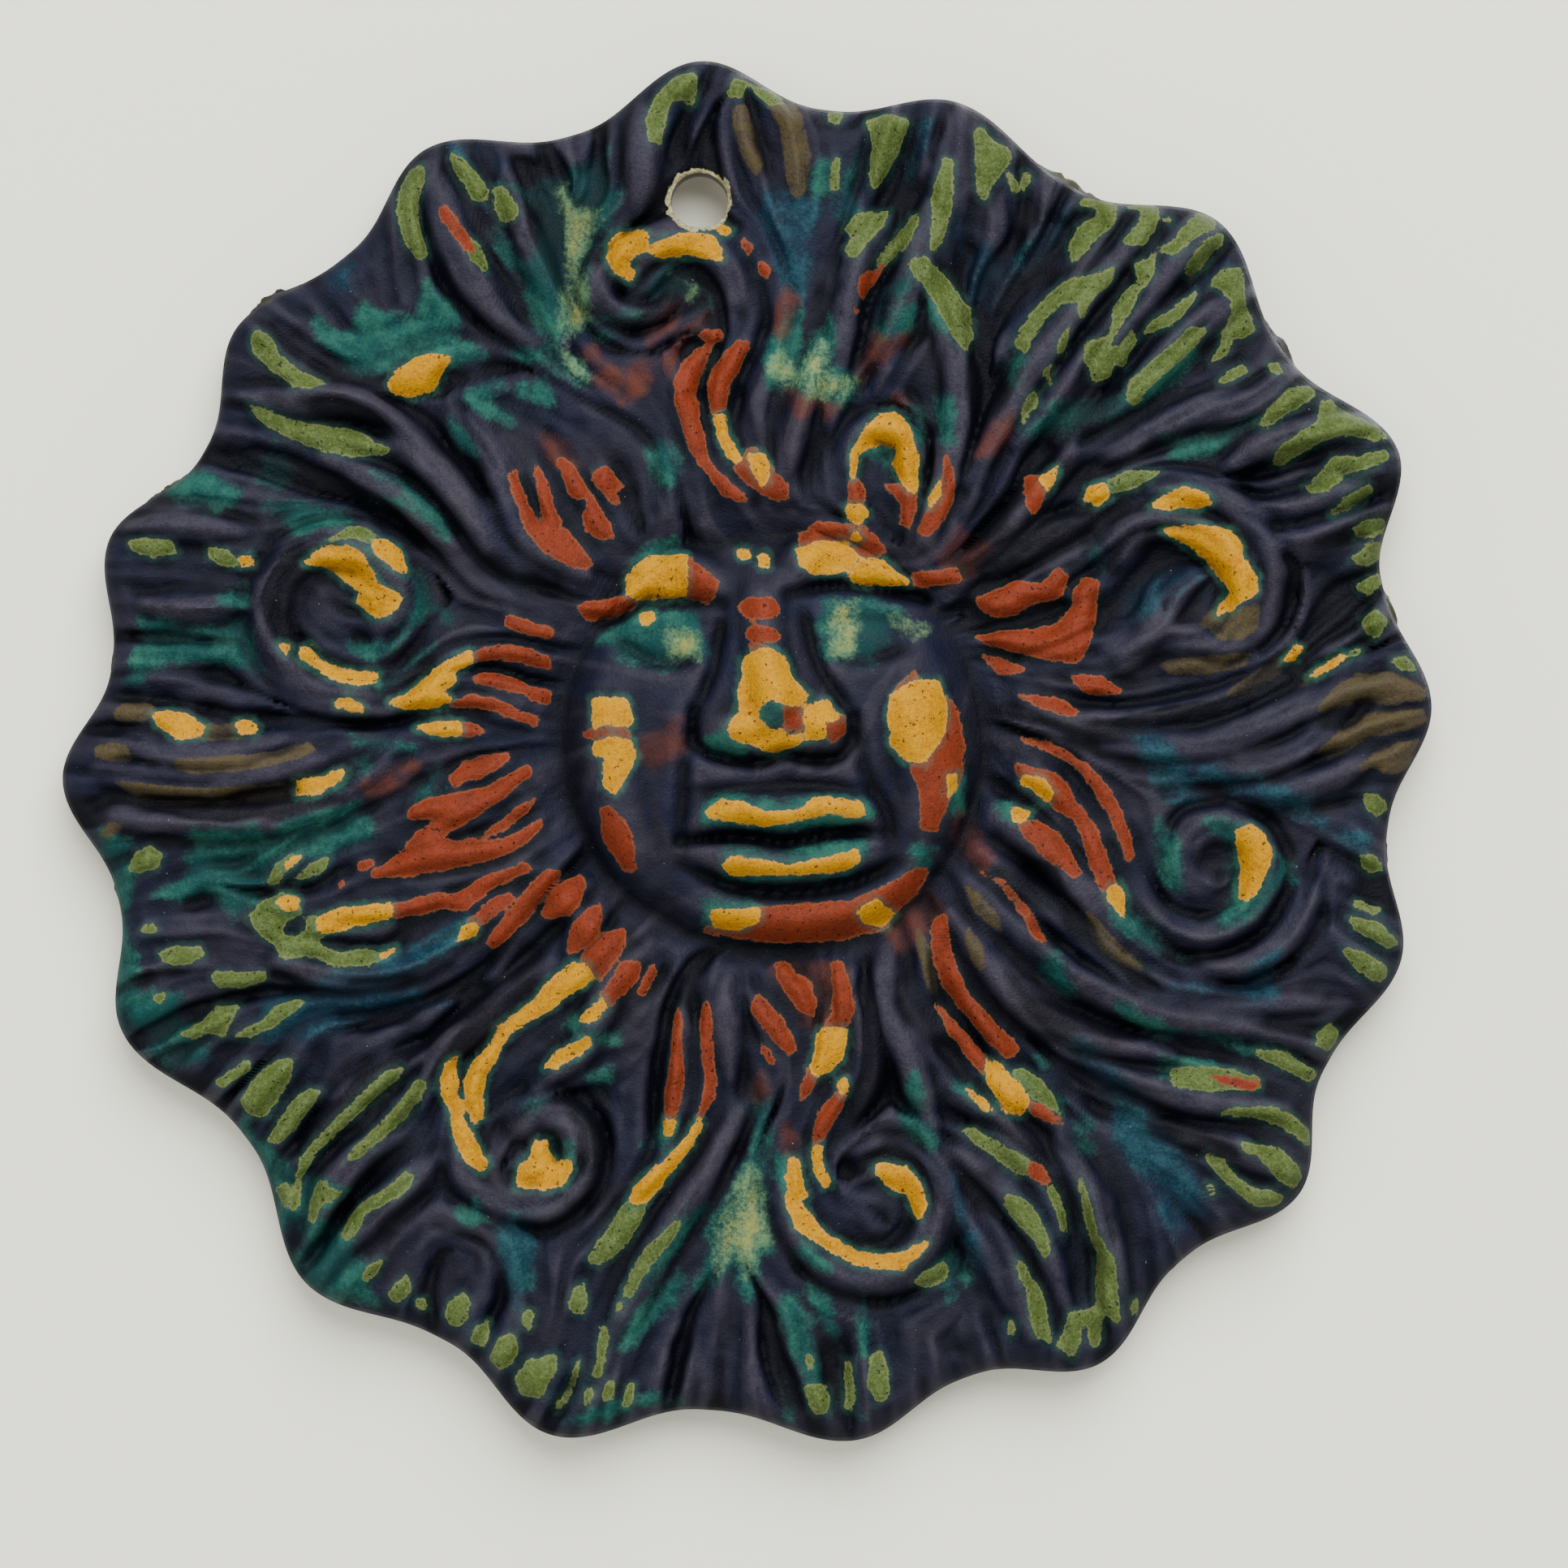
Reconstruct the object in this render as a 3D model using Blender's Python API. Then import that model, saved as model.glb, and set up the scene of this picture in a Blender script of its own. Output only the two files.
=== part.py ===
# Sun face wall plate: one solid casting with a rim of sixteen rays, a face in the
# middle, flame locks and curls around it, and one hole near the top that it hangs by.
# The back is flat and lies on the wall plane Y = 0, the front faces -Y and +Z is up.
# The origin is the middle of the hanging hole, on the wall plane.
import math

import bmesh
import bpy
import numpy as np

# Driving sizes, in metres
PLATE_HEIGHT = 0.171
RIM_THICKNESS = 0.0072
SIDE_FLARE = 0.0004
HOLLOW_FILL = 0.0014
HOLE_DIAMETER = 0.007
HOLE_TO_RIM = 0.0174
HOLE_BEARING = 95.0

# The carving is drawn on a plate this many units tall, about the plate's middle,
# with X to the right and Z up. Its lengths are in these units, its bearings in degrees.
DRAWN_HEIGHT = 171.0
UNIT = PLATE_HEIGHT / DRAWN_HEIGHT

# Each ray: bearing of its tip, reach of the tip, reach of the hollow after it
RAYS = (
    (4, 84.8, 81.2), (25, 88.6, 82.7), (48, 87.6, 80.5), (72, 84.3, 79.9),
    (94, 85.5, 79.2), (118, 84.4, 78.9), (140, 82.1, 76.8), (162, 83.2, 79.4),
    (182.5, 84.8, 80.0), (204, 84.8, 78.4), (231, 85.6, 82.0), (254, 88.0, 81.7),
    (279, 86.3, 82.1), (300, 87.4, 82.8), (321, 87.5, 81.5), (342, 84.9, 79.8),
)
RAY_POINTEDNESS = 1.25
RIM_ROUNDING = 2.6
RAY_SWELL = 0.9
RAY_SWELL_DEPTH = 26.0
RAY_SWELL_SPAN = 8.0

# The ground rises from the rim to the foot of the face, with a moat around the face
GROUND_RISE = 3.4
MOAT_DEPTH = 1.6
MOAT_WIDTH = 3.2
MOAT_OFFSET = 1.0

FACE_X = 3.0
FACE_Z = 1.0
FACE_HALF_WIDTH = 25.8
FACE_HALF_HEIGHT = 25.2
FACE_RISE = 6.4
FACE_FULLNESS = 0.6

# Flame locks: root x, z, tip x, z, bow, sway, half width, rise
# Bow is the bulge to the left of the way from root to tip, sway the S in it.
LOCKS = (
    # Top flame and the ridges behind it
    (0, 29, -3, 57, 4.5, -1.5, 4.6, 3), (-8, 35, -13, 55, 1.5, -1.5, 3, 2),
    (4.5, 30, 1, 50, 3.5, 0, 2.2, 1.6), (6, 67, 4, 82, -0.5, 0, 2.6, 1.3),
    (13, 63, 18, 80, 0.6, 0, 2.6, 1.5), (22.5, 60, 25.5, 74, -1, 0, 2.2, 1.7),
    (27, 65, 30.5, 77.5, 0.6, 0, 2.6, 1.5), (-13, 66, -13, 79, 0, 0, 2.2, 1.2),
    # Upper right flames
    (12, 28, 12.6, 36, 0.5, 0, 2.6, 2.4), (22, 26, 20.5, 60.5, -4.8, 1.5, 3.2, 2.4),
    (16, 44, 22, 67, 3, 0, 2.8, 2), (10, 40, 14, 66, -1.5, 0, 2.6, 1.6),
    (27, 22.5, 40, 36.8, 1.2, 0.5, 3, 2.2), (27, 33, 50, 66, 3.2, 0.5, 3, 1.8),
    (33, 38, 57, 64.5, 1, 1, 3, 1.8), (38, 38, 63, 57, 1, -1, 2.8, 1.7),
    (44, 36, 68, 48, 1, 1, 2.8, 1.6), (58, 33, 78, 39, 2, 0, 2.6, 1.8),
    (60, 29, 79, 35.5, 1.5, -1, 2.4, 1.7), (66, 26, 79, 30, 1, 0, 2.2, 1.6),
    # Right locks and the feet of both right curls
    (28, 12, 42, 21, -3.5, 0, 3.8, 2.8), (27, 17.5, 42.4, 28.5, 0.5, 0, 3, 2.4),
    (46, 10.5, 55, 21.5, 2.5, 0, 2.6, 1.5), (44, 12.5, 62, 12, -2.4, 0, 2.2, 1.7),
    (29, 9.5, 69, 13.5, -4.5, -1, 2.8, 2.2), (30, 5, 77, 12.5, -4.5, -0.5, 2.8, 2.1),
    (44, 1, 84, 8, -1, -2.3, 2.8, 2.1), (52, -2, 84, 3.6, -0.8, -2, 2.6, 2.1),
    (60, -5.5, 82.5, -0.5, -0.8, -0.8, 2.6, 1.9), (28.5, -1, 48, -17.5, 5.6, 0, 3.4, 3),
    (29, -7, 53, -26.5, 2.8, 0.5, 2.8, 2.5), (28, -12, 58, -29.5, 0, 0, 2.6, 1.9),
    # Lower right locks
    (27, -16, 70, -40.5, -4.8, 0, 3, 2.3), (26, -19, 64, -41.5, -5.5, 0, 2.8, 2.1),
    (54, -44, 69.5, -48.5, 1.5, 0.5, 2.4, 1.9), (53, -46.5, 68, -53.5, 1.2, 0, 2.3, 1.8),
    (50, -46, 66, -56.5, 0.6, 0, 2.4, 1.9), (23, -20, 41, -47.5, -3, 0, 3.2, 2.8),
    (24, -41, 39.5, -60, 1.4, 0, 2.8, 2), (25, -49, 38, -64, 1.2, 0.4, 2.6, 1.9),
    (28, -58, 37, -73, 2, 0, 2.4, 1.7), (38, -48, 44.5, -73, 1.8, 0, 2.8, 2),
    (38, -34, 50, -65, -1, 0, 2.6, 1.6), (17, -24, 23, -49, -1.2, -1, 3, 1.9),
    # Foot of the bottom curl, its inner strand and the beard beside it
    (9, -25, 5.2, -53.5, 1.4, 2.4, 3.6, 2.9), (13, -39, 10, -54, -3, 0, 2, 1.6),
    (4, -26, 8.5, -33.5, 0, 0, 2.4, 1.8), (1, -28, 6, -38, 0.5, 0, 2, 1.6),
    (-5, -27, -19, -63, 5.6, 0.5, 2.6, 2.4), (-9, -28, -14, -52, 2.2, 0.5, 2.2, 1.9),
    (-4, -44, -17, -72, 1.2, 0, 2.6, 2),
    # Lower left locks and the foot of the lower left curl
    (-15, -22.5, -35.5, -43, -2.5, 0, 3.6, 2.9), (-12, -24, -26, -41, 1, 0, 2.8, 2.2),
    (-42, -38, -56, -56, -2.2, 0, 2.8, 2), (-39, -40, -49, -50, 0, 0, 2.2, 1.7),
    (-52, -41, -59, -49, 0.6, 0, 2.2, 1.7), (-56, -37, -61, -45, 0, 0, 2.8, 1.9),
    (-40, -51, -50, -61, 0.8, 0, 2.4, 1.7), (-52, -30, -64, -35.5, 0, 0, 2.2, 1.6),
    (-62, -25, -75, -26.5, 0.6, 0, 2, 1.5), (-58, -27.5, -72, -30, 0.6, 0, 1.8, 1.4),
    (-60, -31, -71, -36, -0.6, 0, 2.2, 1.5),
    # Left flames
    (-23, -16, -58, -24, 4.2, 0, 2.8, 2), (-25, -13, -61, -20.5, 2.9, 0, 3, 2.6),
    (-25, -8, -57, -16, 2.5, 0, 2.8, 2.2), (-25, -2, -47, -16, 0, 0, 2.8, 2.4),
    (-25, 0, -66, -9, 1.5, 0.5, 2.8, 1.9),
    (-46, -2, -81, -5.2, 2.4, 0, 2.2, 2), (-51, 2, -81, -0.2, 2.6, 0, 2, 1.8),
    (-56, 6, -80, 4.8, 2.4, 0, 2.2, 1.9), (-54, 4, -79, 7.5, -2.4, 0, 2.4, 1.6),
    (-60, 17.5, -76, 17.5, 0.4, 0, 2, 1.5), (-60, 20.8, -77, 21.5, 0.4, 0, 2, 1.6),
    (-58, 24, -78, 25.5, -0.4, 0, 2.2, 1.8), (-57, 28, -77, 28.5, -0.6, 0, 2, 1.4),
    # Foot of the left curl and the long upper left locks
    (-25, 5, -47.6, 7.2, -3, 0, 3.8, 3), (-24.5, 10.5, -38, 10, -2.2, 0, 2.2, 2),
    (-26, 15, -58, 38, -4.4, 1.5, 2.6, 2), (-24, 18, -62, 41.5, -4.6, 2, 2.8, 2.2),
    (-22, 21, -63, 46, -6.2, 2.4, 2.6, 2), (-18.5, 21.5, -35, 45, 2, 0, 3, 2.3),
    (-17, 24, -27, 43, 1, 0, 2.6, 2), (-15, 27, -20, 38, 0.5, 0, 2.2, 1.5),
    (-24, 46, -46, 43.5, -4, 0, 2.6, 2.2), (-26, 44, -40.5, 71.5, 2.5, -0.5, 2.4, 2.2),
    (-23, 45, -36, 73, 2, 0, 2.4, 2), (-22, 50, -30, 71, 1.5, 0, 2.2, 1.6),
)

# A lock is widest this share of its length from the root; the other shares are of
# its full width and of its full rise
WIDEST_AT = 0.35
LOCK_ROOT_WIDTH = 0.7
LOCK_TIP_WIDTH = 0.3
CURL_ROOT_WIDTH = 0.9
CURL_TIP_WIDTH = 0.6
ROOT_RISE = 0.5
TIP_RISE = 0.35

# Curls: middle x, z, radius at the start and at the end, bearing of the start,
# sweep (clockwise where negative), half width, rise
CURLS = (
    (-9, 56, 7.5, 6.6, 0, 160, 2.6, 2.8), (-13.5, 58.5, 5.5, 5, 130, 190, 1.8, 1.8),
    (16.4, 36, 4.2, 3.9, 185, -195, 1.9, 2.4),
    (52, 20.5, 12.6, 11.8, 140, -172, 2.6, 2.6), (52.5, 18.5, 9.5, 8, 145, -185, 2.6, 2.8),
    (57, -14.2, 9.6, 2.4, 200, 400, 2.8, 2.8), (57, -14.6, 13, 12.2, 215, 130, 2.2, 1.8),
    (16, -55.4, 11, 5, 170, 290, 3.2, 2.9), (-26, -48.3, 10.5, 3.2, 150, 330, 3, 2.8),
    (-49.5, 17.4, 10.5, 6.2, 280, -310, 3.4, 3.2),
)

# Strands of the outer fan, set out evenly where no lock lies higher
FAN_STRANDS = 72
FAN_START = 56.0
FAN_FADE = 8.0
FAN_HALF_WIDTH = 1.9
FAN_RISE = 0.8
FAN_LEAN = 5.0

# Features of the face as ridges: from x, z, to x, z, bow, half width, rise.
# A ridge sinks to a share of its rise at its ends, over a share of its length.
FEATURE_END_RISE = 0.55
FEATURE_END_LENGTH = 0.25
FACE_RIDGES = (
    # Brows
    (-21, 15.5, -3, 19, 3.8, 3.2, 2.6), (5, 22.5, 27, 20.5, 1.8, 3.2, 2.6),
    # Nose: bridge and ball
    (2.5, 17, 3.6, 7, 0, 3.6, 2.6), (3.2, 9, 4.2, 3.4, 0, 6.6, 2.4),
    # Lips
    (-6, -8.6, 16, -8.2, 1, 2.7, 1.9), (-5, -13.8, 15, -13.6, -0.8, 2.5, 1.8),
    # Cheeks and jaw
    (-16.5, 6, -14.5, -15.5, -1.4, 4.2, 2), (21, 9, 21.5, -14, 1.6, 4.2, 2),
    (-8, -21, 20, -16.5, -3.2, 3.4, 1.6),
)

# Mounds and, where the rise is negative, hollows: middle x, z, half width, half height, rise
FACE_MOUNDS = (
    # Wings of the nose
    (-1.4, 3.4, 3.6, 3.2, 1.6), (9.4, 3.6, 3.6, 3.2, 1.6),
    # Eye hollows and closed lids
    (-9.5, 13.6, 7.5, 5, -3), (13, 14.4, 7.5, 5, -3),
    (-9.5, 13.8, 5.4, 2.8, 2.2), (13, 14.6, 5.4, 2.8, 2.2),
    # Hollows beside the nose and around the mouth
    (-8.2, 0, 3, 9, -2), (16.2, 1, 3, 9, -2), (5, -3.4, 11, 2.6, -1.6),
    (5, -17.4, 12, 2, -1.4), (5, -11.2, 11.5, 1.5, -1.4),
)

# Detail of the solid: cells across the drawing, and the share of triangles kept
CELLS_ACROSS = 200
KEPT_SHARE = 0.056
STEPS_ALONG_LOCK = 10
STEPS_ALONG_CURL = 26
HOLE_SIDES = 40
BACK_ALLOWANCE = 0.001
CUT_OVERRUN = 0.004

PAINT_COLOUR = (0.026, 0.024, 0.036, 1.0)
PAINT_ROUGHNESS = 0.62


def clear_scene():
    for item in list(bpy.data.objects):
        bpy.data.objects.remove(item, do_unlink=True)


def new_collection(name):
    collection = bpy.data.collections.new(name)
    bpy.context.scene.collection.children.link(collection)
    return collection


def ray_reach(angle, fill=0.0):
    # Knots alternate between tips and hollows; the curve eases between neighbours
    bearings = np.radians([ray[0] for ray in RAYS])
    following = np.append(bearings[1:], bearings[0] + 2 * math.pi)
    knots = np.ravel(np.column_stack((bearings, (bearings + following) / 2)))
    reaches = np.ravel([(ray[1], ray[2] + fill) for ray in RAYS])
    turned = knots[0] + np.mod(angle - knots[0], 2 * math.pi)
    index = np.searchsorted(knots, turned, side="right") - 1
    after = (index + 1) % len(knots)
    span = np.append(knots[1:], knots[0] + 2 * math.pi)[index] - knots[index]
    part = (turned - knots[index]) / span
    from_tip = np.where(index % 2 == 0, part, 1 - part)
    tip = np.where(index % 2 == 0, reaches[index], reaches[after])
    hollow = np.where(index % 2 == 0, reaches[after], reaches[index])
    return hollow + (tip - hollow) * ((1 + np.cos(math.pi * from_tip)) / 2) ** RAY_POINTEDNESS


def bowed_path(x0, z0, x1, z1, bow, sway=0.0):
    t = np.linspace(0, 1, STEPS_ALONG_LOCK + 1)
    length = math.hypot(x1 - x0, z1 - z0)
    aside = bow * 4 * t * (1 - t) + sway * np.sin(2 * math.pi * t)
    x = x0 + (x1 - x0) * t - (z1 - z0) / length * aside
    z = z0 + (z1 - z0) * t + (x1 - x0) / length * aside
    return np.column_stack((x, z))


def curl_path(x, z, start_radius, end_radius, start, sweep):
    t = np.linspace(0, 1, STEPS_ALONG_CURL + 1)
    angle = np.radians(start + sweep * t)
    radius = start_radius + (end_radius - start_radius) * t
    return np.column_stack((x + radius * np.cos(angle), z + radius * np.sin(angle)))


def nearest_on_path(x, z, path):
    # Distance to a path of straight steps, and how far along it the nearest place is
    distance = np.full(x.shape, np.inf)
    along = np.zeros(x.shape)
    steps = len(path) - 1
    for i in range(steps):
        ax, az = path[i]
        bx, bz = path[i + 1] - path[i]
        t = np.clip(((x - ax) * bx + (z - az) * bz) / (bx * bx + bz * bz), 0, 1)
        away = np.hypot(x - ax - bx * t, z - az - bz * t)
        closer = away < distance
        distance = np.where(closer, away, distance)
        along = np.where(closer, (i + t) / steps, along)
    return distance, along


def rounded(share):
    # A bump that is 1 at the middle and falls smoothly to 0 where share is 1
    return np.clip(1 - share ** 2, 0, None) ** 1.5


def raise_ridge(relief, x, z, path, half_width, rise, root_width, tip_width):
    # The ridge swells from its root and narrows to its tip; the higher surface stays
    low = path.min(axis=0) - half_width
    high = path.max(axis=0) + half_width
    near = (x > low[0]) & (x < high[0]) & (z > low[1]) & (z < high[1])
    distance, along = nearest_on_path(x[near], z[near], path)
    swelling = np.clip(along / WIDEST_AT, 0, 1)
    narrowing = np.clip((1 - along) / (1 - WIDEST_AT), 0, 1)
    root_side = root_width + (1 - root_width) * np.sin(swelling * math.pi / 2)
    tip_side = tip_width + (1 - tip_width) * np.sin(narrowing * math.pi / 2)
    width = half_width * np.minimum(root_side, tip_side)
    height = rise * np.minimum(ROOT_RISE + (1 - ROOT_RISE) * swelling,
                               TIP_RISE + (1 - TIP_RISE) * np.sqrt(narrowing))
    relief[near] = np.maximum(relief[near], height * rounded(distance / width))


def lock_relief(x, z):
    relief = np.zeros(x.shape)
    for x0, z0, x1, z1, bow, sway, half_width, rise in LOCKS:
        raise_ridge(relief, x, z, bowed_path(x0, z0, x1, z1, bow, sway),
                    half_width, rise, LOCK_ROOT_WIDTH, LOCK_TIP_WIDTH)
    for cx, cz, start_radius, end_radius, start, sweep, half_width, rise in CURLS:
        raise_ridge(relief, x, z, curl_path(cx, cz, start_radius, end_radius, start, sweep),
                    half_width, rise, CURL_ROOT_WIDTH, CURL_TIP_WIDTH)
    return relief


def fan_relief(x, z):
    # Strands lean a little more the nearer they are to the rim
    reach = np.hypot(x, z)
    shown = np.clip((reach - FAN_START) / FAN_FADE, 0, 1)
    lean = math.radians(FAN_LEAN) * (reach - FAN_START) / FAN_START
    turn = np.mod((np.arctan2(z, x) + lean) * FAN_STRANDS / (2 * math.pi), 1) - 0.5
    aside = turn * 2 * math.pi * reach / FAN_STRANDS
    return FAN_RISE * shown * rounded(aside / FAN_HALF_WIDTH)


def face_relief(x, z):
    share = np.hypot((x - FACE_X) / FACE_HALF_WIDTH, (z - FACE_Z) / FACE_HALF_HEIGHT)
    relief = FACE_RISE * np.clip(1 - share ** 2, 0, None) ** FACE_FULLNESS
    for x0, z0, x1, z1, bow, half_width, rise in FACE_RIDGES:
        distance, along = nearest_on_path(x, z, bowed_path(x0, z0, x1, z1, bow))
        inner = np.clip(np.minimum(along, 1 - along) / FEATURE_END_LENGTH, 0, 1)
        height = rise * (FEATURE_END_RISE + (1 - FEATURE_END_RISE) * np.sin(inner * math.pi / 2))
        relief = relief + height * rounded(distance / half_width)
    for cx, cz, half_width, half_height, rise in FACE_MOUNDS:
        relief = relief + rise * rounded(np.hypot((x - cx) / half_width, (z - cz) / half_height))
    return np.where(share < 1, np.maximum(relief, 0), 0)


def front_height(x, z):
    reach = np.hypot(x, z)
    rim = ray_reach(np.arctan2(z, x))
    from_face = np.hypot((x - FACE_X) / FACE_HALF_WIDTH, (z - FACE_Z) / FACE_HALF_HEIGHT)
    inward = np.clip((rim - reach) / (rim - FACE_HALF_WIDTH), 0, 1)
    ground = GROUND_RISE * inward
    from_moat = (from_face - 1) * FACE_HALF_WIDTH - MOAT_OFFSET
    ground = ground - MOAT_DEPTH * rounded(from_moat / MOAT_WIDTH)
    tip_share = (rim - min(ray[2] for ray in RAYS)) / RAY_SWELL_SPAN
    near_rim = np.clip(1 - (rim - reach) / RAY_SWELL_DEPTH, 0, 1)
    ground = ground + RAY_SWELL * (tip_share - 0.5) * near_rim
    carved = np.maximum(lock_relief(x, z), fan_relief(x, z))
    inside = np.clip((RIM_ROUNDING - (rim - reach)) / RIM_ROUNDING, 0, 1)
    edge = RIM_ROUNDING * (1 - np.sqrt(1 - inside ** 2))
    carved = carved * (1 - inside)
    return RIM_THICKNESS / UNIT + ground + carved + face_relief(x, z) - edge


def disc_from_square(a, b):
    # Equal cells of a square laid on a disc, so the drawing is as fine everywhere
    wide = np.abs(a) > np.abs(b)
    safe_a = np.where(a == 0, 1, a)
    safe_b = np.where(b == 0, 1, b)
    radius = np.where(wide, a, b)
    angle = np.where(wide, math.pi / 4 * b / safe_a, math.pi / 2 - math.pi / 4 * a / safe_b)
    return radius * np.cos(angle), radius * np.sin(angle)


def hole_place():
    # The hole keeps its distance from the rim, on its bearing from the plate's middle
    bearing = math.radians(HOLE_BEARING)
    reach = float(ray_reach(bearing)) * UNIT - HOLE_TO_RIM
    return reach * math.cos(bearing), reach * math.sin(bearing)


def place_on_wall(x, z, height):
    # From the drawing about the plate's middle to metres about the hanging hole
    hole_x, hole_z = hole_place()
    return np.column_stack((x * UNIT - hole_x, -height * UNIT, z * UNIT - hole_z))


def make_casting(collection):
    bm = bmesh.new()
    bmesh.ops.create_grid(bm, x_segments=CELLS_ACROSS, y_segments=CELLS_ACROSS, size=1.0)
    raised = bmesh.ops.extrude_face_region(bm, geom=bm.faces[:])
    front = [item for item in raised["geom"] if isinstance(item, bmesh.types.BMVert)]
    bmesh.ops.translate(bm, vec=(0, 0, 1), verts=front)
    bmesh.ops.recalc_face_normals(bm, faces=bm.faces[:])
    mesh = bpy.data.meshes.new("sun_plate")
    bm.to_mesh(mesh)
    bm.free()

    corners = np.empty(len(mesh.vertices) * 3)
    mesh.vertices.foreach_get("co", corners)
    a, b, side = corners.reshape(-1, 3).T
    is_front = side > 0.5
    x, z = disc_from_square(a, b)
    angle = np.arctan2(z, x)
    back_reach = ray_reach(angle, HOLLOW_FILL / UNIT) + SIDE_FLARE / UNIT
    reach = np.where(is_front, ray_reach(angle), back_reach)
    mean_reach = sum(ray[1] + ray[2] for ray in RAYS) / (2 * len(RAYS))
    reach = mean_reach + (reach - mean_reach) * np.hypot(x, z) ** 3
    x = x * reach
    z = z * reach
    height = np.full(x.shape, -BACK_ALLOWANCE / UNIT)
    height[is_front] = front_height(x[is_front], z[is_front])
    mesh.vertices.foreach_set("co", place_on_wall(x, z, height).ravel())
    mesh.update()

    casting = bpy.data.objects.new("sun_plate", mesh)
    collection.objects.link(casting)
    fewer = casting.modifiers.new("fewer triangles", "DECIMATE")
    fewer.ratio = KEPT_SHARE
    return casting


def make_hole_cutter(collection):
    depth = RIM_THICKNESS + (GROUND_RISE + 2 * RIM_ROUNDING) * UNIT + 2 * CUT_OVERRUN
    bpy.ops.mesh.primitive_cylinder_add(vertices=HOLE_SIDES, radius=HOLE_DIAMETER / 2, depth=depth,
                                        location=(0, CUT_OVERRUN - depth / 2, 0),
                                        rotation=(math.pi / 2, 0, 0))
    return as_cutter("hole_cutter", collection)


def make_back_cutter(collection):
    # The casting's back is struck off flat on the wall plane
    side = 1.2 * PLATE_HEIGHT
    hole_x, hole_z = hole_place()
    bpy.ops.mesh.primitive_cube_add(size=side, location=(-hole_x, side / 2, -hole_z))
    return as_cutter("back_cutter", collection)


def as_cutter(name, collection):
    cutter = bpy.context.object
    cutter.name = name
    for home in list(cutter.users_collection):
        home.objects.unlink(cutter)
    collection.objects.link(cutter)
    cutter.hide_render = True
    cutter.display_type = "WIRE"
    return cutter


def cut(target, cutter):
    modifier = target.modifiers.new(cutter.name, "BOOLEAN")
    modifier.operation = "DIFFERENCE"
    modifier.solver = "EXACT"
    modifier.object = cutter


def paint_material():
    material = bpy.data.materials.new("dark_rubbed_paint")
    material.use_nodes = True
    shader = material.node_tree.nodes["Principled BSDF"]
    shader.inputs["Base Color"].default_value = PAINT_COLOUR
    shader.inputs["Roughness"].default_value = PAINT_ROUGHNESS
    shader.inputs["Metallic"].default_value = 0.0
    return material


def build():
    clear_scene()
    plate_collection = new_collection("sun_face_wall_plate")
    cutter_collection = new_collection("cutters")
    casting = make_casting(plate_collection)
    cut(casting, make_back_cutter(cutter_collection))
    cut(casting, make_hole_cutter(cutter_collection))
    casting.data.materials.append(paint_material())


build()
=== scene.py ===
# Sun face wall plaque: the carved and painted casting, a pale wall, a floor, light and camera.
# Drawing lengths are in millimetres about the plaque's middle, X right and Z up.
import math
import bpy
import numpy as np
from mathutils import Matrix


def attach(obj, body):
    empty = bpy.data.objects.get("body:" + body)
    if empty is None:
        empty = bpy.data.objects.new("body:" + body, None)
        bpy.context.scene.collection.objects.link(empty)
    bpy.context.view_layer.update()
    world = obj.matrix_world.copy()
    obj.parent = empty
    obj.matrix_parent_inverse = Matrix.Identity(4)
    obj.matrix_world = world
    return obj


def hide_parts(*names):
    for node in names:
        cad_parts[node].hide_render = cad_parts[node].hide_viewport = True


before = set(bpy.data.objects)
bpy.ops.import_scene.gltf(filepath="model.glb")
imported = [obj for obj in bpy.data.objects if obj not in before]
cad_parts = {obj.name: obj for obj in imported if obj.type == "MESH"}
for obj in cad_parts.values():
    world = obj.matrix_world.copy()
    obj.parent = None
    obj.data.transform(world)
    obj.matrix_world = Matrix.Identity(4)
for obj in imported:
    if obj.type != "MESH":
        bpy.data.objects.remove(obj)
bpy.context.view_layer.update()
print("frame loaded")

# Shape of the plaque. The hanging hole is the origin of the frame.
plaque = dict(
    rimThickness=7.2, rimRounding=2.6, sideDraft=0.5, outlineInset=0.15,
    groundRise=3.4, raySwell=0.9, raySwellDepth=26.0, raySwellSpan=8.0, rayPointedness=1.25,
    holeRadius=3.5, holeToRim=17.4, holeBearing=95.0,
    chipRadius=4.3, chipDepth=0.7, chipSlope=0.8, chipRag=0.35, flashRag=0.5,
    faceX=3.0, faceZ=1.0, faceHalfWidth=25.8, faceHalfHeight=25.2, faceRise=6.4,
    faceTop=10.2, moatDepth=1.3, moatWidth=4.2, moatOffset=1.2,
    cells=300, wallRings=5, sharpAngle=62, roughness=0.05, strandRise=1.2, hairRise=0.2,
)

# Each ray: bearing of its tip, reach of the tip, reach of the hollow after it
rays = (
    (4, 84.8, 81.2), (25, 88.6, 82.7), (48, 87.6, 80.5), (72, 84.3, 79.9),
    (94, 85.5, 79.2), (118, 84.4, 78.9), (140, 82.1, 76.8), (162, 83.2, 79.4),
    (182.5, 84.8, 80.0), (204, 84.8, 78.4), (231, 85.6, 82.0), (254, 88.0, 81.7),
    (279, 86.3, 82.1), (300, 87.4, 82.8), (321, 87.5, 81.5), (342, 84.9, 79.8),
)

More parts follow.
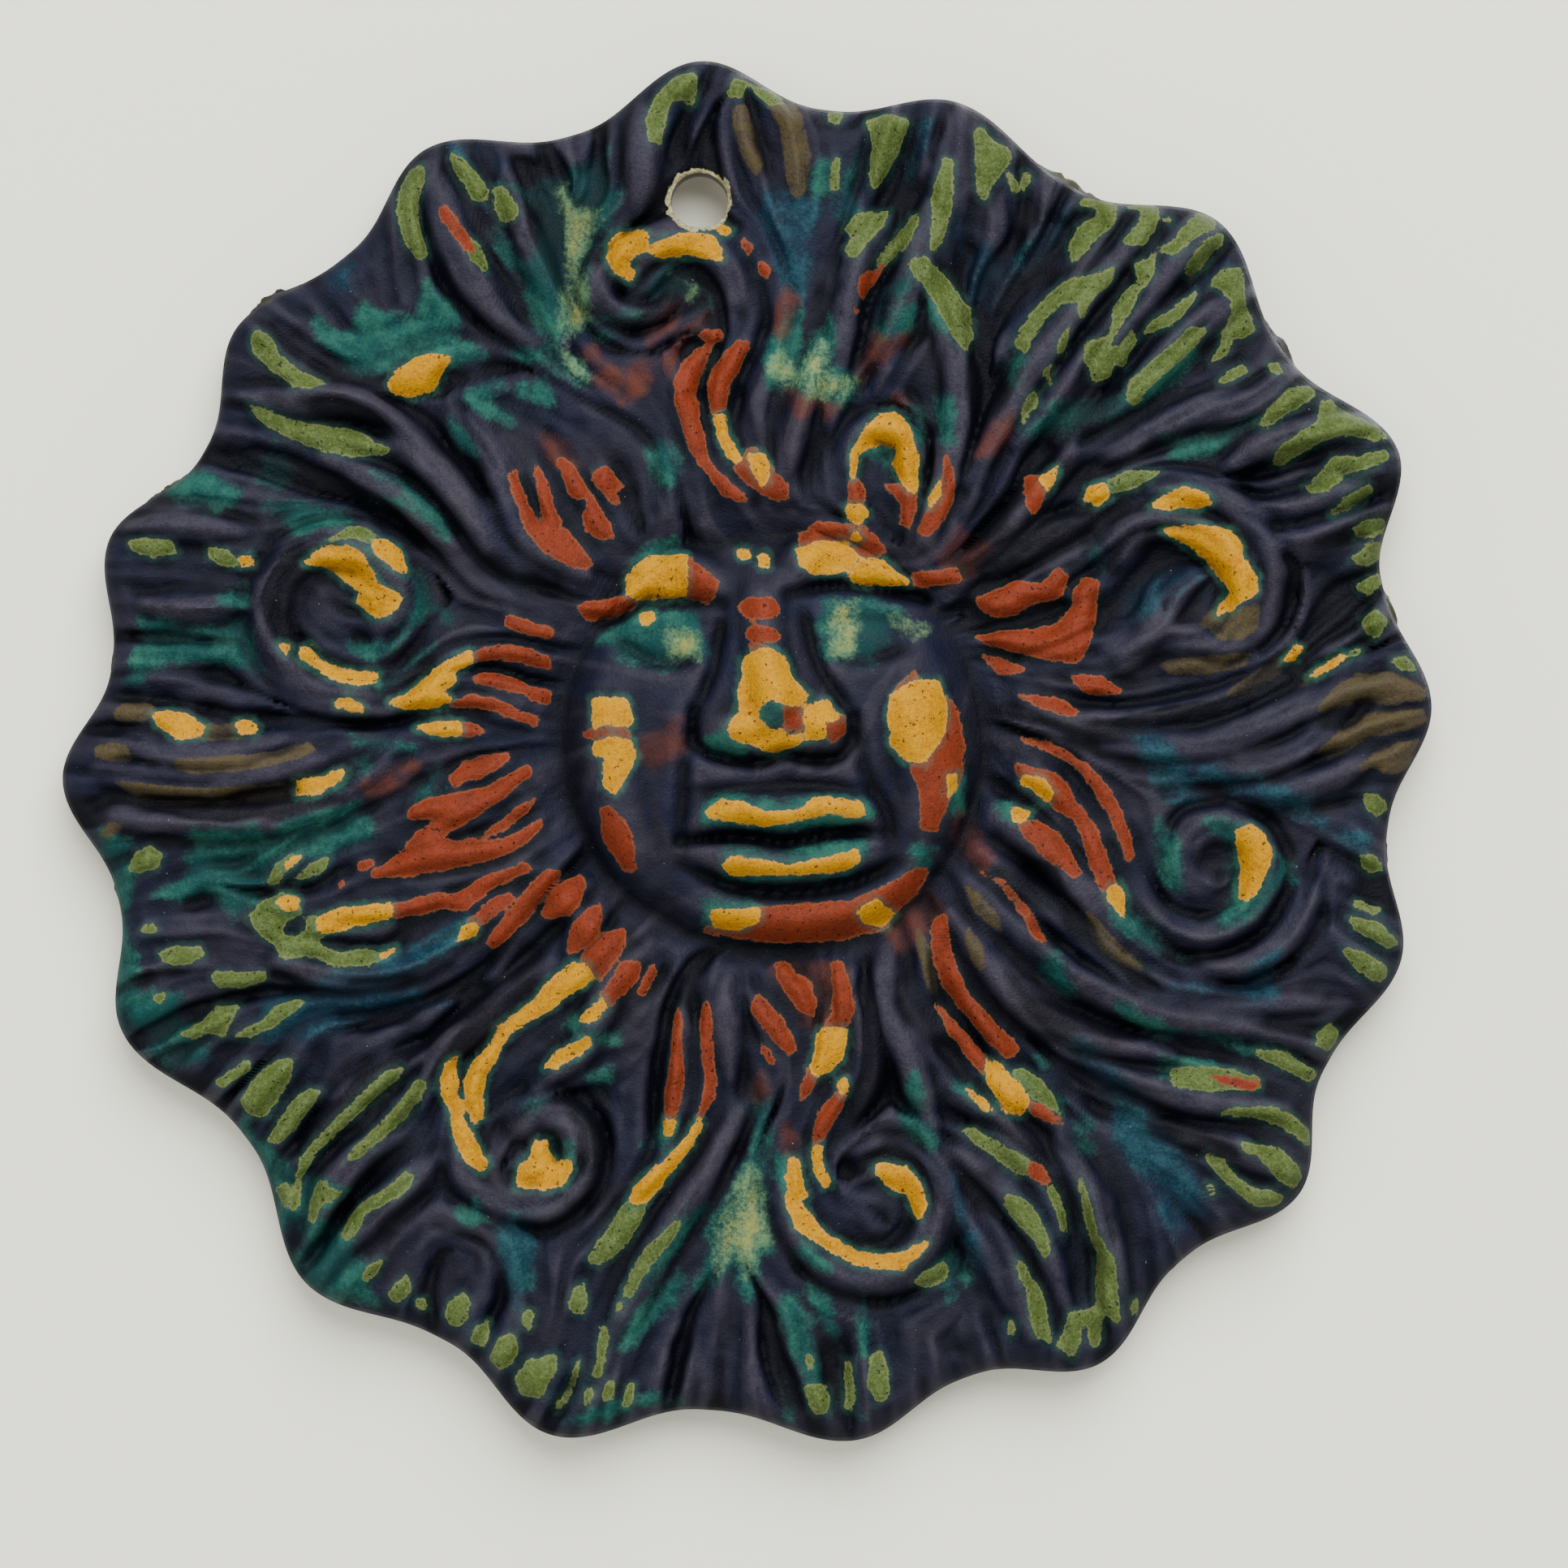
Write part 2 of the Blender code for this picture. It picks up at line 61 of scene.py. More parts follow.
# Curls: middle x, z, radius at start and end, bearing of the start, sweep, half width, rise
curls = (
    (-9, 56, 7.5, 6.6, 0, 160, 2.6, 2.8), (-13.5, 58.5, 5.5, 5, 130, 190, 1.8, 1.8),
    (16.4, 36, 4.2, 3.9, 185, -195, 1.9, 2.4),
    (52, 20.5, 12.6, 11.8, 140, -172, 2.6, 2.6), (52.5, 18.5, 9.5, 8, 145, -185, 2.6, 2.8),
    (57, -14.2, 9.6, 2.4, 200, 400, 2.8, 2.8), (57, -14.6, 13, 12.2, 215, 130, 2.2, 1.8),
    (16, -55.4, 11, 5, 170, 290, 3.2, 2.9), (-26, -48.3, 10.5, 3.2, 150, 330, 3, 2.8),
    (-49.5, 17.4, 10.5, 6.2, 280, -310, 3.4, 3.2),
)

# Painted strokes: width, then x and z of each point along the lock
redStrokes = (
    (3, -24.5,-20, -20.5,-16.5), (2.5, -21.5,-24.5, -18.3,-19.3),
)

brownStrokes = (
    (1.6, 42,-20, 44,-23.5, 48,-26.7), (1.4, 27,-17, 31,-22), (1.3, 27,-22, 29,-27), (1.4, 21,-22, 23,-30),
)

tealStrokes = (
    (2, -38,48.3, -32.5,48.5), (1.3, -30,45, -34,43, -29,41), (1.4, -36.5,40.5, -34,36), (2, -11,38, -9,33),
    (1.4, -31,63, -27,58), (1.6, -11,56, -8,58.5, -6,58), (1.6, 24.5,43.5, 24.7,38), (1.6, 20,58, 18,56),
    (1.6, -25.3,-40, -24.5,-38.8, -22,-37, -19.5,-35.5, -16.5,-35), (1, -28,-44.3, -25.5,-42.8),
    (2.4, -29,-57, -28,-62, -27.5,-66), (1.8, 31,-7, 32.6,-7.8), (1.6, 56.5,-9, 60,-10),
    (2, 63.5,-15, 61,-19.5, 58,-21), (2.2, 51,-9.5, 52.5,-15.5), (2, 66.6,-16, 67.4,-16),
    (1.4, -22,-33.5, -20.5,-33.6), (2, -34,-56, -33,-56),
)

# Dark unpainted ridges and strands
darkStrokes = (
    (3, -45,41, -40,36, -35,31, -30,24, -25,21), (2.6, -34,41, -31,36, -29,31, -27,26, -20,21.5),
    (2.4, -39,72, -37,62, -32,55, -26,50), (2.4, -37,70, -34,60, -29,53),
    (2.6, -62,43.5, -56,43, -50,43, -46,42, -42,39.5), (2, -52,36, -48,34, -42,31, -36,25),
    (2, -76,27.5, -69,27.8, -62,27), (2.4, -74,18, -68,17.6, -62,17.5),
    (2.4, -79,2, -72,0.3, -64,-0.3, -57,1.5), (2.2, -80,-2.5, -72,-3.5, -64,-3.8, -52,-1),
    (2.4, -80,-8, -72,-8.5, -60,-8.5, -50,-5.5, -44,-2), (2.2, -58,-26, -50,-28, -42,-27, -36,-24),
    (2.4, 46,10.5, 50,15, 52,18.5, 55,21.5), (2, 44,12.5, 52,14, 62,12), (2.4, 60,29, 68,30, 79,34),
    (2.2, 62,25.5, 70,26.5, 78,29.5), (2.8, 44,1, 56,0.5, 68,5, 74,8), (2.8, 52,-2, 64,-1.5, 70,2, 74,5),
    (2.6, 60,-5.5, 70,-4, 76,-1), (2.6, 30,5, 44,3, 56,5, 66,9), (2.6, 29,-7, 36,-12, 46,-22, 56,-29),
    (2.4, 28,-12, 38,-20, 48,-28, 60,-31, 70,-31), (2.4, 27,-16, 38,-26, 50,-32, 62,-34, 70,-36),
    (2.6, 25,-20, 33,-30, 42,-35, 52,-37.5), (2.4, 46,-40, 56,-43, 66,-44), (2.2, 50,-46, 58,-48, 66,-52),
    (2.4, 13,-27, 15,-34, 15,-40, 12,-46), (2.4, 17,-24, 16.5,-32, 20,-38, 23,-49),
    (2.2, 24,-41, 30,-45, 36,-52, 38.5,-60), (2.2, 25,-49, 31,-53, 36,-60, 39,-68),
    (2, 28,-57, 32,-62, 35,-72), (2.4, 38,-48, 43,-56, 46,-66),
    (2, 24,-50, 25.5,-54, 26.5,-57, 29,-61.5, 33,-69), (2.2, -12,-24, -17,-29, -20,-36, -26,-41),
    (2, -2,-27, -2.5,-34, -2,-40), (2.2, -1,-44, -5,-52, -11,-61, -17,-72),
    (2.2, -40,-37, -48,-42, -56,-52), (2, -44,-47, -50,-52, -54,-60), (2, -38,-50, -46,-57, -52,-64),
    (2.4, -24,-26, -31,-32, -37,-37, -40,-44), (2.6, 22,26, 25,36, 26,46, 23,56), (2, 16,44, 19,54, 22,67),
    (2, 10,40, 12,52, 14,66), (2.2, 27,33, 33,44, 40,54, 50,66), (2.2, 33,38, 40,46, 48,55, 57,64.5),
    (2.2, 38,38, 48,45, 55,52, 63,57), (2.2, 44,36, 54,41, 62,43, 68,48), (2.4, 58,33, 64,38, 78,41),
    (2.4, 27,22.5, 33,28, 40,36.8), (2.4, 30,22, 36,26, 42.4,28.5), (2.2, 4,33, 6,40, 9,50),
    (2, -22,50, -26,60, -30,71), (1.8, -13,66, -13,79),
)

grooves = (
    (1.6, -45,-15.5, -35,-14.5, -28,-12, -24,-9), (1.2, -75,19.3, -64,18.7), (1.2, -74,16.5, -62,16.2),
    (1.4, 60,29, 68,28.2, 78,32), (1.2, 26,48, 27.5,54, 29.5,58), (1.4, 13,44, 18,49, 22,51),
    (1.6, -22,44, -12,38, -11,30), (1.4, 56,22.5, 51,20, 52,16), (1.6, -49,14.5, -45.5,13.6, -41,15.5),
    (1.2, -46,18, -49,17, -51.5,19), (1.4, 20,-44, 26,-45, 33,-47),
)
# Painted areas that aren't strokes: outlines in the drawing
redPatches = (
    (28,18.5, 30,19.5, 33,20.7, 36,20.3, 37.5,21.8, 38.5,22.3, 39.2,21.3, 38.8,19.3, 37,18.4, 35,18.2,
     33,16.8, 30.5,16.4, 29,17.2),
    (28,14, 31,14.5, 35,14.8, 38,15.5, 39.8,17.5, 40.3,20, 41.5,21.2, 43,20.8, 42.8,17, 42.2,14, 41.3,11.8,
     40,10.8, 37,11.2, 33,12, 29.5,13.2), (29,11.5, 31,11.3, 34,10, 33,9.5, 30.5,9.7, 30,10.7),
    (39.8,8.9, 41,9.2, 43.5,8.9, 46,7.3, 44.5,6.9, 42,7, 40.8,7.8),
    (33.5,6.8, 36,6.6, 39,6, 40.5,4.6, 40,4.2, 37.5,4.9, 35,5.9),
    (33.3,1.8, 36,1.4, 39,0, 42,-2.2, 44.5,-5, 46,-8, 47,-11, 47.3,-13, 46.7,-13.4, 45.8,-11, 44.2,-7.5,
     42.2,-4.2, 40,-1.6, 37,0, 34.5,1),
    (33,-1.8, 35.5,-2.3, 38,-3.2, 39.3,-4.2, 40,-6, 41.5,-7.8, 43,-10, 45.3,-16.5, 44,-17.6, 43.5,-17.2,
     42.2,-14.5, 41,-10, 40,-8.3, 38,-7.2, 35.3,-4.2, 33.2,-3),
    (33.2,-8.5, 35.5,-8.7, 38,-10, 39.5,-12.2, 40.7,-15, 40,-15.6, 38.5,-14.2, 36.5,-13, 34.5,-11,
     33.5,-9.6), (28.5,-14.8, 31,-15.8, 33.5,-18.5, 35.5,-21, 36.5,-23.5, 35.5,-23, 31.5,-17),
    (23.3,-20.2, 24.3,-20.2, 24.6,-22.5, 25.3,-26, 27,-30, 33,-36, 33.3,-37.3, 32,-37.7, 29,-35, 24,-29,
     23,-26, 22.6,-22), (23,-31, 24.2,-32, 28.5,-36.8, 30,-38, 29.2,-40, 25,-34.8),
    (-29.5,16.6, -24,14.8, -24,13.8, -26.5,14.2, -29.6,15.3),
    (-33.7,11.8, -32,12.5, -29.5,12.8, -26.5,12.4, -24.5,11.2, -24,10, -26,10.4, -28.5,11.2, -31,11.4,
     -33.8,10.9),
    (-33.5,9, -32,9.6, -29.5,9.2, -26.5,7.7, -24.4,7.2, -24.3,5.8, -25.5,6, -28,7.3, -33.6,8.5),
    (-36.6,5.8, -34,6.6, -31,6.2, -28,4.8, -25.8,4, -26,3.2, -28.5,4, -31,5, -34,5.4, -36.4,5.2),
    (-35.3,3.5, -33,2.9, -32.2,2.4, -33.5,2, -35.2,1.8),
    (-36.5,-3.5, -35,-1.5, -32.5,-0.6, -29.5,-0.5, -29.3,-1, -31,-2.3, -33,-3.4, -35,-3.6, -35.8,-4.4),
    (-27,-2, -26.6,-2.8, -31,-6.5, -36.5,-10, -37.8,-10.6, -36,-11.2, -33,-10.6, -30,-8.6, -28,-7,
     -26,-5.8, -27.5,-8, -30.5,-10, -33.8,-11.2, -30,-11, -27.5,-9.8, -25.2,-8.4, -25.3,-9.4, -27.5,-11.5,
     -30.5,-13, -34,-14, -38,-14.8, -42,-15.4, -46,-15.4, -46,-15, -44,-13.8, -42,-12, -40.5,-10, -38,-8.5,
     -41.5,-8.2, -41.5,-7.2, -39,-6, -32,-4.5, -30,-3.5, -28.3,-2.4),
    (-43.8,-19, -41,-18.4, -38,-17.5, -36,-17.8, -33,-16, -27.2,-13.8, -26.5,-14.5, -31.5,-17, -34.5,-19.5,
     -37,-19.3, -40,-20, -43.8,-20.6),
    (-34.6,-21.2, -33.6,-20.5, -31,-18, -29,-17.5, -28.8,-18.5, -31,-20, -32.8,-21.6),
    (-31.8,-23.6, -31,-22, -26,-16, -24.5,-14.7, -22.8,-14.8, -24,-17, -26.5,-20.2, -29,-22.6, -31,-24.3),
    (-24.5,-19.6, -24,-18.2, -22.5,-16.2, -20.5,-15.4, -20,-17, -21.5,-18.6, -23.5,-20.2),
    (-48,-14, -46,-13.4, -45.8,-13.8, -47.5,-14.6), (-50,-16.8, -49.4,-16.3, -49.8,-16),
    (-8.8,45.5, -8,47.5, -6.2,49.3, -4.5,49.9, -5.2,47.5, -6,45.5, -6.2,44, -7,43.2, -5.9,43, -6,41,
     -5.4,39, -5,36, -3.5,34, -0.2,30.8, -0.8,30.6, -3,31.5, -6.8,36.5, -8,40, -8.8,43),
    (-6,51.5, -3.2,51.7, -3,50.5, -5,50),
    (-4.9,45, -4.3,46.8, -2.8,48.6, -1,50.2, 0.2,50, -0.5,48.5, -1,46.5, -2.4,45, -2.8,42, -4.2,41.5,
     -4.6,43), (-1.7,35, -0.8,35.5, 0.2,37, 1,37, 2,36, 3.5,34, 5,32.5, 5,31, 3.5,30.8, 1,32, -0.5,33.2),
    (-0.7,63, 0.6,62, 0.2,61, -0.6,62.2), (1.6,59.8, 2.8,59.3, 2.2,58, 1.4,58.8),
    (-37.8,67, -36.8,66.6, -35.5,64.5, -34.2,63, -33.5,61.2, -34.5,61.5, -37.5,65.3),
    (12.5,33, 13.5,33.2, 14.5,31.5, 14,30, 12.5,30.3),
    (17,32.5, 19.5,32.8, 20.8,31.5, 20.6,29.5, 19.7,27.2, 18.8,28, 19,30, 18,31.5),
    (24.3,36, 25,34.5, 25.3,31, 24.2,28.5, 22,26.3, 20.8,27, 22,28.8, 24,33),
    (34,33.5, 35.5,33.8, 37,33, 36,30.5, 35,29, 34.2,30.5), (14,58, 16.8,59.8, 14.5,55.5, 13.8,56),
    (13,54.3, 13.9,54, 13.4,53.5),
    (-13.2,-26, -13.4,-28, -17,-31.3, -17.9,-31.6, -17.7,-29.8, -16.5,-28, -15.5,-26),
    (-13.4,-29.6, -12.8,-28.2, -11.5,-26.3, -11.2,-27.2, -12.2,-29.4, -13,-30),
    (-10,-45, -9.9,-42, -9.3,-38, -8.6,-31.5, -8.1,-32, -8.2,-36, -7.9,-40, -8.3,-43, -9,-45.2),
    (-5.8,-33, -5.3,-31, -4.8,-30.8, -4.4,-33, -4.3,-37, -3.9,-40, -4.2,-42.5, -5.5,-44.8, -6,-45.2,
     -5.2,-42, -5,-40, -5.5,-37),
    (0.5,-31.8, 0.6,-30.5, 1.5,-30.2, 3,-31.5, 4.3,-33, 5.5,-35.3, 5.8,-37, 5,-37.2, 2,-34),
    (1.8,-36, 2.6,-36.8, 3.3,-38.2, 2.8,-38.4, 2,-37.2),
    (3.4,-26.2, 4.5,-26, 6,-27.5, 7.5,-28.3, 8.5,-31, 8,-32.5, 6.5,-31.8, 5,-30, 3.8,-28),
    (10.3,-26, 11.5,-26, 12.3,-28, 12.9,-31, 12.6,-33.6, 11.5,-34, 10,-33.8, 9.2,-34.2, 10.5,-32, 10.6,-29),
    (7.6,-39, 8.6,-39.6, 7.8,-41.5, 6.7,-42.8, 6.5,-42.2, 7,-40.3),
    (11.3,-41.7, 12,-42, 11.5,-44, 10.4,-45.5, 9.3,-47.5, 8.2,-48.4, 8.1,-46.8, 8.7,-45, 10,-43),
    (35,-50.5, 36,-51, 37,-52.5, 36.7,-53.3, 34.4,-52),
    (34,-43, 36,-43.5, 38,-45, 38.8,-45.9, 37,-45.4, 35,-44.6),
    (56.8,-39.9, 60,-40.3, 63,-41, 62,-41.6, 58.5,-41),
    (-7.6,23.9, -5.8,22.4, -3.5,20.6, -4.7,18, -7.6,18.5),
    (-20.5,18, -15.3,18.8, -12.4,18, -16.8,16.2, -19.4,16, -20.5,17.1),
    (-1.2,17.4, 0,18.5, 3,18.5, 4.1,17.2, 3,16.2, 0,16.3),
    (-0.4,14.2, 0.8,15, 3,14.9, 4.2,14, 3,13.3, 0.8,13.3), (0.2,12.4, 1.7,12.8, 3.2,12.2, 1.7,11.7),
    (4.5,5.4, 6.5,5.5, 6.9,2.4, 4.8,1.9), (10,3.7, 11.8,4.1, 11.9,2.1, 10.2,1.2, 9.4,2.1),
    (-20.1,1.9, -17.9,3, -15,3, -14.2,1.5, -16,1.7, -18.3,1.3),
    (-17.9,-7.3, -16.8,-6.9, -14.2,-10.2, -13.7,-14.6, -15,-14.6, -17.5,-10.9),
    (17.7,6.3, 18,7.4, 20.6,9.6, 21,8.5),
    (24.3,6.7, 25.7,5.2, 26.6,0.8, 26.1,-3.6, 24.3,-6.5, 23.2,-9.8, 21.3,-9.5, 21.2,-5.1, 19.9,-1.8,
     21.7,-1.4, 24.1,2.3),
    (6.3,26.5, 8.9,27.9, 14,27.6, 15.5,26.5, 16.9,24.3, 14,22.4, 12.9,25, 8.9,25.7, 6.7,24.6),
    (20.2,21.7, 24.3,21.9, 25.7,22.4, 26.1,21, 24.3,20.6, 20.6,20.2),
    (1.4,-19.4, 12.5,-18.6, 16.9,-16.8, 20.6,-14.6, 22.2,-14.6, 21.3,-16.8, 18.4,-19.7, 16.9,-21.9,
     11.1,-23.3, 4.5,-23.5, -0.7,-23, -5.4,-22.3, -4.7,-21.6, 1.2,-21.6),
    (-29,34, -28.4,34.2, -27.5,31.5, -26.5,29.3, -25.5,28, -25,28.2, -25.8,33, -26,35, -25,33.5, -23.5,29,
     -22.8,28, -23.5,27.2, -22.2,27, -20.8,25, -19,23, -19.5,22.2, -22.5,23, -25,24.5, -27,27, -28.8,32.5),
    (-23.3,35.5, -22.6,35.9, -21,34.5, -19.8,32.3, -17,28, -16.5,26.2, -18,26, -19.8,27.2, -20.2,28.8,
     -19.8,29.5, -19.6,31, -20.8,31, -21.8,31.5, -22.4,33.5),
    (-19,34, -17.8,34.5, -17.2,34.9, -16,33.2, -15.2,32.5, -16.4,32, -15.8,30.5, -16.5,30.3, -17.8,32,
     -18.8,33),
    (-20.7,-26, -19.5,-24, -17.5,-22.3, -15.2,-22, -15,-24, -16.5,-26.2, -18.3,-28.2, -19.8,-27),
)

yellowPatches = (
    (-1,24.6, 0.2,24.6, 0.2,23.6, -0.8,23.6), (1.5,24, 2.4,24.2, 2.6,22.6, 1.7,22.6),
    (60,-9.8, 61.5,-9.3, 63,-10, 64.2,-12.5, 63.8,-14.5, 62.2,-17.8, 61,-18.5, 60.4,-18, 60.6,-15),
    (34,-3.2, 36.2,-3.6, 37.4,-5.2, 36.8,-6.3, 35.3,-5, 33.6,-3.8),
    (32.6,-7, 34.7,-7.6, 33.8,-8.6, 32.6,-8.5),
    (44,-17.3, 45.6,-16.3, 46.2,-18, 46.4,-20, 45.8,-20.1, 44.8,-18.9),
    (66,11, 67.4,12.9, 68.1,12.7, 67.4,11.4), (69,9, 73,11.9, 73.8,11.6, 70,9.1),
    (-55,12.5, -54,13, -52.5,11.2, -50,10, -47.5,9.5, -45.3,9.6, -45.5,8.6, -48,8.3, -51,9, -55,11.4),
    (-50.5,6, -49,6.4, -47.3,5.4, -47.2,4.9, -49,5.1, -50.2,5.6), (-57.4,12.9, -56.5,12, -56.4,12.9),
    (-43.8,5.9, -41.5,7, -40,8.5, -38,10.2, -36,11.4, -33.9,12.1, -34,10.6, -35.8,9.8, -36,8.4, -37.4,7.4,
     -36.5,6.2, -38,5.3, -41,5.1), (-40.5,2.8, -38.5,3.4, -35.3,3.4, -35.2,1.9, -38,1.9),
    (-73,4.5, -71,4.7, -69,4.3, -66.8,3, -67,1.9, -70,1.6, -72.5,3.2),
    (-62.8,3.5, -61,3.6, -60.2,2.6, -60.8,2, -62.5,2.2),
    (-55.3,-5.4, -55.5,-3.8, -52.5,-3.3, -50,-2.4, -49.3,-2.6, -50.5,-4, -53,-5.2),
    (-52.5,-22, -52.8,-20.6, -50,-19.4, -43.8,-18.9, -43.8,-20.5, -51,-22.2),
    (-57.8,-18.5, -56.5,-17.9, -55.2,-18.4, -55.3,-19.5, -57,-19.4),
    (-45,-25, -43.3,-24.2, -43.5,-24.8, -44.5,-25.3), (-56.8,-14, -55,-12.8, -56.5,-14.5),
    (-35.5,-23.2, -34.8,-21.5, -33.3,-21.2, -33,-22, -34,-22.8),
    (-62.6,23.6, -61,23.8, -60.7,22.8, -61.8,22.7),
    (-17.2,60.5, -17,62.5, -15.5,63.9, -13.5,64, -12.5,63.6, -12.4,62, -11,62, -9.5,62.8, -7,63.3,
     -4.5,63.1, -3.4,61.5, -3.1,60.3, -7.5,61, -10.5,60.6, -12.2,61.4, -14,61, -14.8,59.8, -13.8,58.5,
     -14.3,57.9, -15.8,58.6, -16.8,59.5), (-3.9,64.4, -2.9,64.6, -2,63.8, -3,63.4),
    (-44,45, -43.2,46.5, -41,48, -38.5,48.7, -36.6,48.2, -37.5,46.5, -38.5,44.5, -41,43.6, -43.3,43.8),
    (-4,41, -2.8,41.2, -2.5,38.5, -0.8,36, -1.5,35.2, -2.4,36.2, -3.5,38.5),
    (0.2,36.2, 1.8,36.5, 2.6,35, 2.3,33, 1.8,32.5, 0.8,34.2),
    (41.5,31, 42,32.3, 43.8,32.8, 44.5,31.2, 43,30.3),
    (49.5,29.8, 50.8,31, 53.5,32.2, 55.5,31.8, 57,30.5, 55.5,29.8),
    (12.8,33.5, 13,36.5, 14.5,39.5, 16.5,41.3, 18.2,41.5, 19.8,39.5, 20.8,36, 20.8,32.5, 20.5,31.5, 19,33,
     17.8,35, 18.2,37, 16.8,37.6, 14.8,37.4, 13.6,36.3, 13.2,34), (22.3,30.5, 23.5,32.8, 23.3,31, 22.5,30),
    (36,33.5, 38,34.6, 37.5,33, 36.8,31.8), (12.2,30, 13.8,30.2, 14.8,29, 13.8,27.8, 12.4,28.5),
    (-21.5,-26, -20,-26.3, -18.7,-27.8, -20,-28.8, -22,-29.8, -24,-31.5, -29,-34.4, -30.2,-36, -31.3,-38.5,
     -32.2,-40, -32.8,-43, -32.5,-44.8, -33.5,-45.7, -34,-44, -35,-43.8, -35.4,-44.5, -32,-50.6,
     -32.5,-51.6, -33.5,-51, -35,-49.5, -36,-47, -36.5,-44, -37.5,-42, -37.6,-40.5, -37,-38.5, -35.8,-37.8,
     -35.5,-43, -34.5,-43.3, -34.6,-40.5, -33.8,-38.5, -31.5,-36, -30.5,-34, -26,-30.5, -24.5,-28.5,
     -22.5,-27), (-20.5,-33, -17.8,-30.4, -17.3,-31.4, -18.2,-32.5, -19.8,-33.3),
    (-24.8,-38.8, -23.5,-37.2, -21,-35.8, -19.3,-35.2, -19.3,-36.2, -23.5,-38.7),
    (-28.4,-53.6, -27.8,-51, -26.5,-49.8, -26,-47.8, -25.3,-48.3, -24.6,-47.8, -24.5,-49.5, -23.2,-50.5,
     -21.8,-50.2, -21.6,-51.5, -22.6,-53.3, -25,-53.8, -26.5,-53.5),
    (-14.6,-55.5, -13.5,-53.3, -11.5,-51.5, -9.5,-50, -7.5,-47.5, -5.9,-45.2, -5.7,-46, -7,-48.5,
     -10.8,-53.5, -12.5,-55.4), (-10.2,-45.2, -9,-45.5, -9.3,-47, -10,-47),
    (8.6,-34.5, 10.5,-34, 12.4,-34.2, 12,-36, 11.4,-38, 10,-39.2, 8.6,-40, 7.8,-38.8, 8.5,-36.5),
    (11,-41, 12,-40.3, 12.3,-41, 11.9,-42.1),
    (8.3,-48.6, 9,-48.5, 8.8,-50.5, 10.2,-53.2, 9.5,-53.5, 8.3,-51.5, 8,-50),
    (5.1,-50, 6,-50, 6.5,-52.5, 7.3,-54.8, 6,-55.3, 7.5,-57, 9,-59, 11,-60.3, 13.5,-61.6, 16,-62, 19,-61.9,
     22,-60.2, 21.8,-60.8, 20.5,-62.3, 19,-63.4, 16,-63.4, 13,-62.9, 10.5,-61.6, 8,-60, 6,-58.5, 5.1,-56,
     5,-53),
    (15.8,-51, 17,-50.7, 19.5,-51.3, 21,-53, 22,-56, 21.2,-57.2, 20.3,-56.5, 19.8,-54.6, 18,-53.8,
     16.5,-52.8),
    (29.4,-38, 31,-38.5, 32,-40, 33.5,-41, 34.5,-43, 33.8,-44.8, 31.8,-44.5, 30.5,-42.5, 29.5,-40.5),
    (27,-41.5, 28.5,-42.5, 30,-44, 29.3,-43.9, 27.5,-42.6),
    (-15,21, -13.5,22.8, -11.7,23.9, -7.6,23.9, -7.6,18.8, -13.1,18.4, -14.6,19.3),
    (-0.3,11.4, 2.6,12.4, 4.5,11.4, 5.6,8.5, 7.4,6.7, 6.6,5.6, 4.8,5.8, 3,6.5, 1.4,5.4, 1.2,3.8, 2.4,2.6,
     4.4,2.4, 5,1.6, 6.5,2, 6.7,1.2, 3.4,-0.4, 0.8,0.8, -1.8,1.5, -2.3,2.6, -1,4.8, -0.8,7.8),
    (7,5.2, 9.6,6.1, 11.2,4, 9.4,3.6, 9.4,1.5, 7.2,1.4),
    (-19,6.3, -15,6.3, -14,3.7, -14.3,2.9, -17.5,3.3, -18.6,2.8),
    (-18.5,1, -16,1.4, -14.2,1, -14.2,0.4, -13.5,-0.7, -16.1,-5.1, -17.5,-4.3, -17.2,-0.7, -19,-0.3),
    (17.7,6.7, 20.6,8.5, 23.2,8.5, 24.3,5.9, 24.1,2.3, 21.7,-1.4, 19.1,-1, 17.7,0.8, 17.3,4.5),
    (24.6,-3.2, 25.5,-2.9, 25.5,-4.7, 24.6,-5.8),
    (6.1,24.6, 8.9,25.4, 12.2,25.7, 13.3,23.9, 12.5,22.1, 8.1,21.7, 6.7,22.8),
    (12.7,21.3, 14,23.2, 16.6,23.5, 18.4,21.6, 19.9,20.5, 15.5,20.3, 12.9,20.5),
    (12.7,26, 13.3,26.6, 13.9,26, 13.3,25.4),
    (-4.7,-7.3, -2.9,-6.2, -0.7,-6.5, 1.2,-7.1, 2.3,-7.6, 6.7,-7.3, 8.1,-5.9, 10,-5.8, 10.3,-6.7,
     11.4,-5.9, 13.9,-6.5, 14.2,-7.9, 11.8,-7.9, 10,-7.4, 8.1,-8, 2.3,-9.1, -4.7,-8),
    (-3,-14.2, -1.8,-13, 5.2,-14.2, 10.3,-13.1, 13.3,-12.3, 13.8,-13.5, 12.2,-14.5, 6.7,-15, -1.8,-15.1),
    (-4.3,-19.7, 1.2,-19.4, 1.4,-20.8, -1,-21.8, -4,-21.6),
    (13.6,-19.7, 15.8,-18.3, 18,-20.1, 16.6,-21.6, 14.4,-21.2),
    (-13.2,16.6, -11.8,16.8, -11.6,15.7, -12.9,15.5),
    (-54.3,23, -53,24, -51.5,24.9, -49.5,24.9, -48,24.5, -47,23.5, -45.5,20.5, -44.5,19.8, -43,19.3,
     -42.5,18.5, -43.5,17.3, -44.5,16.6, -45.5,16.3, -46.5,17, -47.8,18.3, -47.5,19.5, -49,20.7, -52,22.7),
    (-45.8,25.7, -44.3,25.7, -43,24.8, -42.2,23.3, -41.9,21.8, -43.5,22.5, -45.7,24.7),
    (51.1,27.2, 55.8,27.5, 59.4,27.1, 60.6,25.3, 60.6,23.7, 62.4,21.4, 62.4,19.4, 60.4,18.5, 59.3,17.1,
